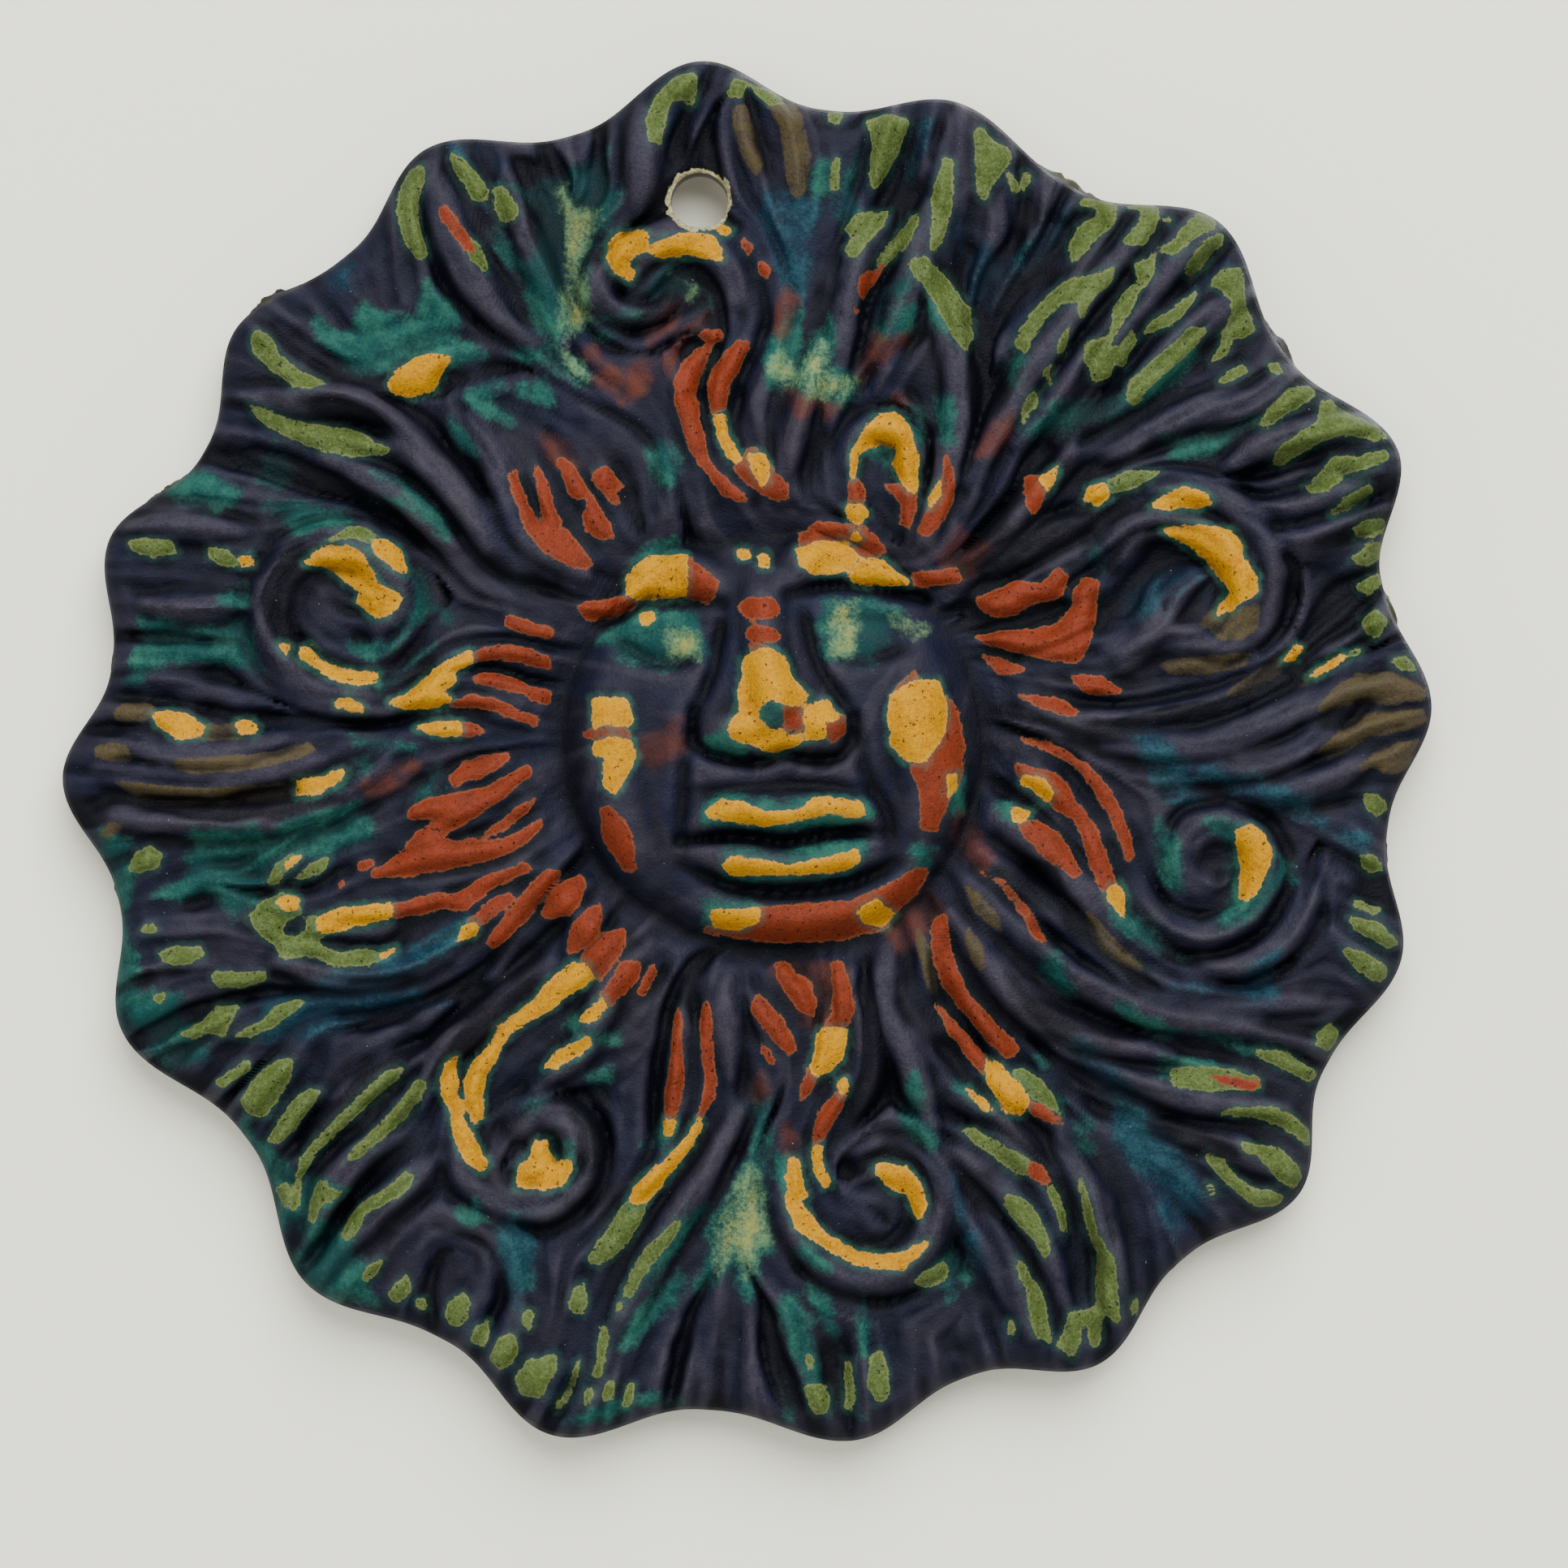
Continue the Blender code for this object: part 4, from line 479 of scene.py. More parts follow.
    (-74.3,16.3, -67,15.1, -62.8,16.5, -61.3,16.2, -59.8,10, -62,9.8, -69,10.9, -73,10.5, -75,8, -77.2,7.8,
     -75.5,10.5), (-40.7,22, -39.5,20, -38.8,17.5, -43,13.5, -40.9,17.5),
    (-38.5,17.5, -37,17.2, -36,16, -37,15.5),
    (-49,13.2, -46,12.8, -43.5,13.2, -42,14.5, -43.5,12.3, -46,11.6, -48.5,12.2),
    (-45.5,8.5, -43.5,9.3, -41,11.5, -38.5,12.8, -43,8.8, -45,8),
    (-48.5,1.7, -45,1.8, -41,0, -46,0.3, -48,0.8),
    (-48.5,-1, -46.5,-0.5, -46.3,-2, -48,-3.2, -50,-3.7, -53,-6, -51,-6, -46.5,-2.6),
    (-39,-3, -37.7,-2, -37.6,-3.3, -40.7,-5.8, -40,-4),
)

# Olive brown
brownPatches = (
    (70.3,5, 72,7.5, 75,9.3, 79,9.4, 83.5,7.3, 83,6.5, 79,6, 75,6.2, 72.5,5.5),
    (67.8,8.2, 69.2,8.6, 70,9.6, 69,9.4),
    (70,-0.5, 72.5,2, 76,4.3, 80,4.8, 83,4.9, 83.6,3.8, 81,2.6, 77,2, 71.5,-0.8),
    (75,-2.3, 77.5,-0.2, 80,0.8, 82.5,1.2, 82,-0.7, 80.5,-2.5, 78.5,-2.6, 77,-1.8),
    (-79.5,-10.3, -78.5,-9.2, -77,-9.4, -78.2,-10.4),
    (-1.6,79, -0.3,79.4, 0.8,76, 1.6,72, 0.9,70.8, -0.6,73.5, -1.6,76.5),
    (2.5,79.5, 5.5,79.8, 6.6,77.5, 7.6,73, 7.2,69, 5.8,68, 5,70, 4,77.5),
    (59,6.8, 61,8.6, 64,10.4, 66,12, 66.6,11, 64.5,8.8, 61.5,7),
    (50.8,10.6, 54,11.2, 59,11.5, 61.6,11.8, 61,10.6, 57,9.6, 52,9.5),
    (56,15.6, 57.5,17.5, 60,17, 62.5,17.8, 62.6,15.5, 60.5,13.9, 58,13.8),
    (-77.8,4.8, -76,5.7, -74,5.7, -72.8,4.9, -74,4, -76,3.8, -77.5,3.9),
    (-67.5,3.3, -65,3, -62.7,3.3, -61.5,1.9, -64,1.6, -67,1.7),
    (-80,0.2, -78,0.9, -76,0.4, -75.8,-0.9, -78,-1.1, -80.2,-0.7),
    (-70,-1.5, -61,-0.8, -57,-0.1, -54,0.9, -53.2,0.2, -55.5,-0.9, -59,-1.8, -64,-2.4, -68,-2.5,
     -69.8,-2.2),
    (-77.5,-3.8, -70,-4.6, -64,-4.7, -58,-4.3, -55.5,-3.9, -55.3,-5.3, -58,-5.9, -64,-6.3, -70,-6.2,
     -75,-5.6),
)

# Bluer washes
bluePatches = (
    (-60,-29, -40,-29, -36,-31, -55,-35.5, -60,-36), (-30,-58, -27,-57, -26,-62, -28,-68, -30,-66),
    (47.5,2, 49.5,4, 52.5,-1, 55,-3, 55,-6.5, 52.5,-6, 50.5,-3.5),
    (52,-1, 64,-4, 68,-6, 72,-9.5, 76,-11, 76,-13, 70,-9, 64,-6, 57,-4),
    (46,16, 49,17, 52,20, 55,22, 52,23, 48,21, 46,19),
    (-55,-29, -42,-25, -36,-21, -34.5,-20.5, -36,-24, -42,-29, -50,-33, -56,-33),
    (-52,58, -50,60.5, -48.5,60, -48.5,57, -51,56.5), (-38,74.5, -33,74.5, -29,70, -31,72.5, -35,72.8),
    (-22.3,68.5, -21,70.5, -18.7,71.5, -18.5,69.5, -19.5,67.6),
    (26.3,57, 26.6,61, 28,63.5, 31,61, 33,61, 35,62.5, 37,65.5, 39.5,67, 40,62.5, 37,61, 34,58.5,
     29.5,53.6), (25.3,63.5, 26,66, 27,64, 27.3,61.5, 26,60.8),
    (18.3,69.8, 21,74.5, 21.5,77, 22.4,77.5, 22.2,75, 19.8,69.8),
    (13,68.5, 13.7,66, 12,64.8, 10.6,66.5, 12,68.7),
    (1,66, 3,69.5, 6,67.8, 8.5,67, 6.5,56, 5.5,55.5, 4.5,58, 4,61, 2,63.5),
    (25.5,-52, 27.5,-58.5, 28.8,-60.5, 29.8,-63.3, 28,-63, 26.5,-60.5, 25,-54),
    (52,-29, 60,-28.3, 63.5,-25.5, 65,-25, 65,-30.5, 62,-31.3, 59,-30),
    (40,-34, 42,-35.5, 46.5,-40.5, 53.5,-49, 57,-58, 54.5,-57.5, 52.5,-60, 50.5,-56.5, 50,-53, 45.5,-49,
     43.5,-42, 41,-39.5, 40,-36.5),
)

# Soft rusty washes
rustPatches = (
    (28,36, 30,40.5, 32.5,41, 32,37.5), (3,-27, 5,-26, 9,-26, 12,-27, 12.5,-30, 11,-34, 9,-35, 7,-33),
    (0,-41, 1.5,-40, 2.3,-42, 1.5,-43.5, 0.3,-42.5), (4.8,-46, 5.8,-48, 5.4,-50, 4.6,-49),
    (-12,1.5, -8.4,3.7, -8.1,0.1, -11.7,-2.1, -13.1,-0.7), (-48,-4.2, -44,-2.6, -42,-4, -46,-5.4),
    (26,-8, 30,-12, 29,-15, 25.6,-11), (16,-21, 22,-17, 24,-20, 19,-25),
    (24,20, 28,22, 30,25, 26,27, 24,24), (-25,39, -22.5,37.5, -20.5,35, -22,34.5, -24,36),
    (-20.2,49.7, -18.8,50, -17.2,48.7, -18,47.5, -19.5,47.9),
    (-15.3,43, -14.5,46.5, -13.2,48.3, -11.8,48, -11.9,45.8, -12.8,44.2),
    (-12.5,51, -9.5,55, -8,55.2, -8.5,53, -12,49.3), (-19,46, -17,47, -15,45.5, -16,44, -18,44.5),
    (4.8,44.5, 11.4,42.4, 9.7,40.8, 8.5,42.3, 6.5,41.4, 5.2,42.5),
    (15.2,51.3, 17,50.5, 20,51, 20,50, 18,49.3, 14,45.2, 13.2,46.5, 14,48.5, 15.4,50.2),
    (17.3,42.9, 19.3,44.4, 19.3,42.6, 18.3,42.2), (3.3,51.5, 4,54.5, 5,56.5, 5.8,55, 5.2,52.5, 4.2,50.9),
    (-43,-2, -41.5,-1.2, -40.5,-2, -42,-3.5), (-10.5,48, -9,50.5, -5,54.3, -4.6,53.6, -9.6,46.6),
)

# Features of the face as ridges and, where the rise is negative, grooves:
# half width, rise, then x and z of each point
faceLines = (
    # Brows and the dark lines under them
    (2.7, 2.5, -20.5, 16.2, -15.3, 19.1, -12.4, 22.2, -8.7, 23.2, -3.6, 20.6),
    (3, 2.8, 5.5, 21, 7.5, 24.5, 11.5, 25.6, 16, 23.8, 20, 21.8, 26.5, 21.4),
    (1.2, -2.6, -22, 15.5, -16, 16.4, -12.4, 18.4, -8, 18.4, -2.9, 18),
    (1.2, -2.6, 5, 19.2, 11, 20.2, 17, 19.5, 22.8, 18.8, 28, 18.4),
    # Nose: bridge, ball, base and sides
    (3.2, 2.4, 2, 21, 2, 14, 3, 8, 4.2, 4.4), (5.4, 2.2, 2.4, 7, 4.6, 3.8),
    (1.2, -2.8, -6.6, 5, -6.2, 0.8, -2.9, -1, 1.5, -1.4, 4.5, -0.5, 8.1, -1.1, 11.8, -0.4, 13, 4),
    (1.3, -1.6, 12.6, 4.5, 10.2, 8, 8.2, 11.5, 6.8, 17),
    (1.3, -1.6, -6.2, 5, -4.4, 9, -3.4, 13, -3, 17),
    (1.4, -1.5, -6.8, 4, -7.8, -3, -8, -8, -8.2, -11.5),
    (1.4, -1.5, 13.4, 3.7, 14.2, -2, 17, -8, 17.8, -11),
    # Lips, the lines between and around them, and the chin
    (2.4, 2.2, -6.5, -8.8, -1, -7.2, 4, -7.9, 9, -7, 15, -7.8),
    (2.4, 2.1, -5.5, -13, 2, -13.9, 8, -13.9, 15, -13),
    (1.1, -2.6, -8.4, -11, -1, -10.5, 5, -11.2, 11, -9.9, 17, -10.3),
    (1.4, -1.9, -8, -14, -1, -16.9, 5, -17.4, 11, -16.6, 18, -14),
    (1.2, -1.1, -7, -5.4, 0, -4.5, 8, -4.4, 15, -5),
    (3.2, 2.2, -6, -19.6, 5, -21, 13, -20.2, 18, -17.6, 21.8, -13.5),
    # Cheeks and lids
    (4.2, 2.2, -17, 7, -17.4, 0, -15.8, -8, -13, -15), (4.6, 2.4, 20.5, 9, 21, 3, 23, -4, 22, -11),
    (1.2, 1, -15, 14.6, -12, 16, -8.5, 15.6, -5, 14.2), (1.1, -1.2, -16.8, 14, -11, 10.7, -5.8, 11),
    (1.2, 1, 8.5, 16.4, 13, 17.6, 18, 17), (1.1, -1, 9, 11.6, 14, 10.8, 20, 12.5),
)

# Mounds and hollows of the face: middle x, z, half width, half height, rise
faceMounds = (
    (-1.8, 2.6, 3.4, 2.8, 1.8), (9.6, 3.2, 3.2, 3, 2), (-9.5, 14, 7.5, 5, -2.4), (14, 15, 7.5, 4.6, -2.2),
    (-9.5, 13.8, 5, 2.6, 1.6), (13.5, 14.6, 5.4, 2.8, 1.6), (5, -3, 9, 2.2, -1), (15.6, -10.6, 2.2, 2, 1),
    (-10.5, 0, 3, 7, -0.8), (17, -3, 2.6, 6, -0.6),
)


# Fields are laid out on a square raster over the drawing
raster = dict(count=512, pitch=0.36)
flow = dict(reach=8.0, spread=2.6, ofPatch=0.5, ofCurl=2.5)
ridgeShape = dict(skirt=1.1, darkSkirt=1.3, lowest=1.3, perWidth=0.6, highest=3.4, tipShare=0.14,
                  paintGain=1.34)
patchShape = dict(skirt=1.0, reach=2.4, grow=0.22, margin=3.0)
curlShape = dict(points=27, gain=1.35, gutterDepth=0.75, gutterOffset=0.35, gutterWidth=0.9)
grooveShape = dict(depth=1.3, skirt=0.5)
comb = dict(step=0.7, steps=14, fineSteps=10, wideSpread=0.95, fineSpread=0.42, blend=1.5)
smooth = dict(face=0.32, relief=0.35, cavity=2.0, fineLow=0.22, fineHigh=0.75)
axis = (np.arange(raster["count"]) - (raster["count"] - 1) / 2) * raster["pitch"]
gridX, gridZ = np.meshgrid(axis, axis)


def sample(field, x, z):
    # Bilinear: each value is the mean of its four neighbours, weighted by nearness
    last = raster["count"] - 1.001
    u = np.clip((x - axis[0]) / raster["pitch"], 0, last)
    v = np.clip((z - axis[0]) / raster["pitch"], 0, last)
    i, j = u.astype(int), v.astype(int)
    fu, fv = u - i, v - j
    low = field[j, i] * (1 - fu) + field[j, i + 1] * fu
    high = field[j + 1, i] * (1 - fu) + field[j + 1, i + 1] * fu
    return low * (1 - fv) + high * fv


def blur(field, spread):
    # A bell-shaped mean of the given spread in millimetres, taken through the spectrum
    waves = np.fft.fftfreq(raster["count"], raster["pitch"])
    fall = np.exp(-2 * (math.pi * spread) ** 2 * (waves[:, None] ** 2 + waves[None, :] ** 2))
    return np.real(np.fft.ifft2(np.fft.fft2(field) * fall))


def lumps(seed, spread):
    # Even random noise blurred to lumps of the given spread, with a deviation of 1
    field = blur(np.random.default_rng(seed).standard_normal(gridX.shape), spread)
    return field / field.std()


def smoothPath(points, perSpan=4):
    # A curve through all points: each span is a cubic that leaves along its neighbours' chord
    pts = np.array(points, float).reshape(-1, 2)
    pts = np.vstack((2 * pts[0] - pts[1], pts, 2 * pts[-1] - pts[-2]))
    t = (np.arange(perSpan) / perSpan)[:, None]
    spans = []
    for a, b, c, d in zip(pts[:-3], pts[1:-2], pts[2:-1], pts[3:]):
        bend = 2 * a - 5 * b + 4 * c - d + t * (3 * (b - c) + d - a)
        spans.append(b + 0.5 * t * (c - a + t * bend))
    return np.vstack(spans + [pts[-2:-1]])


def curlPath(x, z, startRadius, endRadius, start, sweep):
    # A spiral whose radius changes evenly with its turn
    t = np.linspace(0, 1, curlShape["points"])
    turn = np.radians(start + sweep * t)
    radius = startRadius + (endRadius - startRadius) * t
    return np.column_stack((x + radius * np.cos(turn), z + radius * np.sin(turn)))


def window(low, high):
    # The part of the raster that covers a box of the drawing
    first = np.clip(np.floor((low - axis[0]) / raster["pitch"]).astype(int), 0, raster["count"])
    last = np.clip(np.ceil((high - axis[0]) / raster["pitch"]).astype(int) + 1, 0, raster["count"])
    return slice(first[1], last[1]), slice(first[0], last[0])


def nearPath(path, margin):
    # For each cell near a path: its distance, how far along it is, and the path's turn there
    part = window(path.min(axis=0) - margin, path.max(axis=0) + margin)
    x, z = gridX[part], gridZ[part]
    distance = np.full(x.shape, 1e3)
    along, turn = np.zeros(x.shape), np.zeros(x.shape)
    spans = np.diff(path, axis=0)
    ends = np.append(0, np.cumsum(np.hypot(*spans.T)))
    for k, (start, span) in enumerate(zip(path[:-1], spans)):
        t = np.clip(((x - start[0]) * span[0] + (z - start[1]) * span[1]) / (span @ span), 0, 1)
        away = np.hypot(x - start[0] - span[0] * t, z - start[1] - span[1] * t)
        closer = away < distance
        distance = np.where(closer, away, distance)
        along = np.where(closer, ends[k] + t * (ends[k + 1] - ends[k]), along)
        turn = np.where(closer, math.atan2(span[1], span[0]), turn)
    return part, distance, along / ends[-1], turn


def rounded(share):
    # A bump: 1 in the middle, falling smoothly to 0 where share is 1
    return np.clip(1 - share ** 2, 0, None) ** 1.5


def flatTop(share):
    # A bump with a flatter top and steeper flanks
    return np.clip(1 - share ** 2, 0, None) ** 1.4 * (1 + 1.4 * share ** 2)


def insideOf(outline):
    # Signed distance to a closed outline, positive inside, found edge by edge
    pts = np.array(outline, float).reshape(-1, 2)
    part = window(pts.min(axis=0) - patchShape["margin"], pts.max(axis=0) + patchShape["margin"])
    x, z = gridX[part], gridZ[part]
    distance = np.full(x.shape, 1e3)
    inside = np.zeros(x.shape, bool)
    for (ax, az), (bx, bz) in zip(pts, np.roll(pts, -1, axis=0)):
        dx, dz = bx - ax, bz - az
        t = np.clip(((x - ax) * dx + (z - az) * dz) / (dx * dx + dz * dz), 0, 1)
        distance = np.minimum(distance, np.hypot(x - ax - dx * t, z - az - dz * t))
        if dz != 0:
            inside ^= ((az > z) != (bz > z)) & (x < (z - az) * dx / dz + ax)
    return part, np.where(inside, distance, -distance)


print("laying out the locks")
relief = np.zeros(gridX.shape)
flowCos = 0.004 * np.cos(2 * np.arctan2(gridZ, gridX))
flowSin = 0.004 * np.sin(2 * np.arctan2(gridZ, gridX))
# How deep each spot lies inside a colour, in millimetres, negative outside it
cover = {name: np.full(gridX.shape, -4.0)
         for name in ("red", "yellow", "green", "brown", "teal", "pale", "rust", "blue")}


def combFlow(part, distance, turn, weight=1.0):
    # Locks comb the strands around them: weights fall off as a bell curve of the distance
    share = weight * np.exp(-(distance / flow["spread"]) ** 2)
    flowCos[part] += share * np.cos(2 * turn)
    flowSin[part] += share * np.sin(2 * turn)


def layStroke(row, colour=None, lift=1.0):
    # A lock is a rounded ridge along its path, wider in the middle than at its ends
    width, path = row[0], smoothPath(row[1:])
    part, distance, along, turn = nearPath(path, flow["reach"])
    tip = ridgeShape["tipShare"]
    swell = tip + (1 - tip) * np.sin(math.pi * (0.05 + 0.9 * along)) ** 0.75
    half = width / 2 * swell
    if colour:
        depth = half * ridgeShape["paintGain"] - distance
        cover[colour][part] = np.maximum(cover[colour][part], depth)
    rise = lift * min(ridgeShape["lowest"] + ridgeShape["perWidth"] * width, ridgeShape["highest"])
    skirt = ridgeShape["skirt"] if colour else ridgeShape["darkSkirt"] * (0.4 + 0.6 * swell)
    bump = rise * (0.12 + 0.88 * swell) * flatTop(distance / (half + skirt))
    relief[part] = np.maximum(relief[part], bump)
    combFlow(part, distance, turn)


def layPatch(outline, colour, rise):
    # A painted patch stands up like a pillow and combs the strands along its longest direction
    part, depth = insideOf(outline)
    cover[colour][part] = np.maximum(cover[colour][part], depth + patchShape["grow"])
    if rise:
        t = np.clip((depth + patchShape["skirt"]) / patchShape["reach"], 0, 1)
        relief[part] = np.maximum(relief[part], rise * t * t * (3 - 2 * t))
        corners = np.array(outline, float).reshape(-1, 2)
        longest = np.linalg.eigh(np.cov((corners - corners.mean(axis=0)).T))[1][:, 1]
        turn = math.atan2(longest[1], longest[0])
        combFlow(part, np.clip(-depth, 0, None), turn, flow["ofPatch"])


def layCurl(x, z, startRadius, endRadius, start, sweep, half, rise):
    # A ridge along a spiral, lower at its ends, with a gutter on both sides
    path = curlPath(x, z, startRadius, endRadius, start, sweep)
    part, distance, along, turn = nearPath(path, flow["reach"])
    ends = np.clip(np.minimum(along + 0.25, (1 - along) * 2 + 0.4), 0, 1)
    bump = curlShape["gain"] * rise * ends * flatTop(distance / (half * (0.7 + 0.3 * ends)))
    relief[part] = np.maximum(relief[part], bump)
    fromGutter = (distance - half - curlShape["gutterOffset"]) / curlShape["gutterWidth"]
    relief[part] -= curlShape["gutterDepth"] * ends * rounded(fromGutter)
    combFlow(part, distance, turn, flow["ofCurl"])


def cutGroove(row):
    # A hollow along its path, deepest in the middle
    part, distance, along, turn = nearPath(smoothPath(row[1:]), flow["reach"])
    deep = grooveShape["depth"] * np.sin(math.pi * (0.08 + 0.84 * along))
    relief[part] -= deep * rounded(distance / (row[0] / 2 + grooveShape["skirt"]))
    combFlow(part, distance, turn)


for rows, colour, lift in ((redStrokes, "red", 1), (brownStrokes, "brown", 1), (tealStrokes, "teal", 0.3),
                           (darkStrokes, None, 1.25)):
    for row in rows:
        layStroke(row, colour, lift)
for outlines, colour, rise in ((redPatches, "red", 2.2), (yellowPatches, "yellow", 2.1),
                               (greenPatches, "green", 1.7), (brownPatches, "brown", 1.6),
                               (palePatches, "pale", 0), (tealPatches, "teal", 0),
                               (rustPatches, "rust", 0), (bluePatches, "blue", 0)):
    for outline in outlines:
        layPatch(outline, colour, rise)
for curl in curls:
    layCurl(*curl)
for row in grooves:
    cutGroove(row)

print("combing the strands")
flowTurn = np.arctan2(blur(flowSin, comb["blend"]), blur(flowCos, comb["blend"]))
turnCos, turnSin = np.cos(flowTurn), np.sin(flowTurn)
wideNoise, fineNoise = lumps(3, comb["wideSpread"]), lumps(4, comb["fineSpread"])
wide, fine = wideNoise.copy(), fineNoise.copy()
for way in (1, -1):
    # Noise is averaged along the flow, so that it draws out into strands
    x, z = gridX.copy(), gridZ.copy()
    dx, dz = way * np.cos(flowTurn / 2), way * np.sin(flowTurn / 2)
    for k in range(comb["steps"]):
        x, z = x + dx * comb["step"], z + dz * comb["step"]
        half = np.arctan2(sample(turnSin, x, z), sample(turnCos, x, z)) / 2
        nx, nz = np.cos(half), np.sin(half)
        side = np.where(nx * dx + nz * dz < 0, -1, 1)
        dx, dz = nx * side, nz * side
        wide += sample(wideNoise, x, z)
        if k < comb["fineSteps"]:
            fine += sample(fineNoise, x, z)
wide, fine = wide / wide.std(), fine / fine.std()

print("shaping the face")
faceShare = np.hypot((gridX - plaque["faceX"]) / plaque["faceHalfWidth"],
                     (gridZ - plaque["faceZ"]) / plaque["faceHalfHeight"])
faceHeight = plaque["faceRise"] * np.clip(1 - faceShare ** 2, 0, None) ** 0.85
for half, rise, *points in faceLines:
    part, distance, along, turn = nearPath(smoothPath(points), half)
    ends = np.sin(np.clip(np.minimum(along, 1 - along) / 0.25, 0, 1) * math.pi / 2)
    faceHeight[part] += rise * (0.4 + 0.6 * ends) * rounded(distance / half)
for x, z, halfWide, halfHigh, rise in faceMounds:
    faceHeight += rise * rounded(np.hypot((gridX - x) / halfWide, (gridZ - z) / halfHigh))
faceHeight = np.minimum(np.where(faceShare < 1.02, faceHeight, 0), plaque["faceTop"])
faceHeight = blur(faceHeight, smooth["face"])
relief = blur(relief, smooth["relief"])
outOfFace = np.clip((faceShare - 1.0) / 0.1, 0, 1)
smoothTop = 1 - 0.5 * np.clip(relief / 2.4, 0, 1)
# Strands are broad rounded backs with narrow grooves between them
backs = 1 - np.clip((0.35 - wide) / 1.35, 0, 1.3) ** 2
strands = outOfFace * (plaque["strandRise"] * backs * smoothTop + plaque["hairRise"] * fine)
carving = relief * outOfFace + strands + plaque["roughness"] * lumps(5, 0.5)
whole = carving + faceHeight
cavity = whole - blur(whole, smooth["cavity"])
groove = blur(whole, smooth["fineLow"]) - blur(whole, smooth["fineHigh"])


def rayReach(turn, fill=0.0):
    # Tips and hollows take turns; between them the reach eases as a raised cosine
    bearings = np.radians([ray[0] for ray in rays])
    following = np.append(bearings[1:], bearings[0] + 2 * math.pi)
    knots = np.ravel(np.column_stack((bearings, (bearings + following) / 2)))
    reaches = np.ravel([(ray[1], ray[2] + fill) for ray in rays]) - plaque["outlineInset"]
    turned = knots[0] + np.mod(turn - knots[0], 2 * math.pi)
    index = np.searchsorted(knots, turned, side="right") - 1
    after = (index + 1) % len(knots)
    span = np.append(knots[1:], knots[0] + 2 * math.pi)[index] - knots[index]
    part = (turned - knots[index]) / span
    fromTip = np.where(index % 2 == 0, part, 1 - part)
    tip = np.where(index % 2 == 0, reaches[index], reaches[after])
    hollow = np.where(index % 2 == 0, reaches[after], reaches[index])
    return hollow + (tip - hollow) * ((1 + np.cos(math.pi * fromTip)) / 2) ** plaque["rayPointedness"]


def frontHeight(x, z):
    # Ground rising to the face, less the moat, plus the carving, rounded off at the rim
    reach, rim = np.hypot(x, z), rayReach(np.arctan2(z, x))
    inward = np.clip((rim - reach) / (rim - plaque["faceHalfWidth"]), 0, 1)
    fromMoat = (sample(faceShare, x, z) - 1) * plaque["faceHalfWidth"] - plaque["moatOffset"]
    ground = plaque["groundRise"] * inward - plaque["moatDepth"] * rounded(fromMoat / plaque["moatWidth"])
    tipShare = (rim - min(ray[2] for ray in rays)) / plaque["raySwellSpan"]
    outward = np.clip(1 - (rim - reach) / plaque["raySwellDepth"], 0, 1)
    ground = ground + plaque["raySwell"] * (tipShare - 0.5) * outward
    inside = np.clip((plaque["rimRounding"] - (rim - reach)) / plaque["rimRounding"], 0, 1)
    edge = plaque["rimRounding"] * (1 - np.sqrt(1 - inside ** 2))
    fromHole = np.hypot(x - holeX, z - holeZ) + plaque["chipRag"] * sample(chipNoise, x, z)
    chip = plaque["chipDepth"] * np.clip((plaque["chipRadius"] - fromHole) / plaque["chipSlope"], 0, 1)
    carved = sample(carving, x, z) * (1 - inside) + sample(faceHeight, x, z)
    return plaque["rimThickness"] + ground + carved - edge - chip


# Rough flash that pokes out behind the rim: bearing, spread in degrees, how far
flashes = ((136, 3.2, 1.3), (60.5, 3.6, 1.3), (37.5, 2.8, 1.2), (155.5, 2.6, 1.0), (12.5, 2.6, 0.9),
           (172, 2.4, 0.5), (351, 2.6, 0.5), (192.5, 3, 0.5), (309, 3, 0.4), (84, 2, 0.3))
holeTurn = math.radians(plaque["holeBearing"])
holeReach = float(rayReach(np.array(holeTurn))) + plaque["outlineInset"] - plaque["holeToRim"]
holeX, holeZ = holeReach * math.cos(holeTurn), holeReach * math.sin(holeTurn)
chipNoise = lumps(6, 0.6)


def layDisc(cells):
    # A square grid bent to a unit disc: the larger of a and b gives the radius, the other the turn
    a, b = np.meshgrid(np.linspace(-1, 1, cells + 1), np.linspace(-1, 1, cells + 1))
    wider = np.abs(a) > np.abs(b)
    radius = np.where(wider, a, b)
    flat, steep = b / np.where(a == 0, 1, a), a / np.where(b == 0, 1, b)
    turn = np.where(wider, math.pi / 4 * flat, math.pi / 2 - math.pi / 4 * steep)
    return (radius * np.cos(turn)).ravel(), (radius * np.sin(turn)).ravel()


def backOutline(turn):
    # The rim less the draft, with a bell-shaped flash at each bearing of the list
    reach = rayReach(turn) - plaque["sideDraft"]
    for bearing, spread, rise in flashes:
        off = np.degrees(np.angle(np.exp(1j * (turn - math.radians(bearing)))))
        reach = reach + (rise + plaque["sideDraft"]) * np.exp(-(off / spread) ** 2)
    return reach


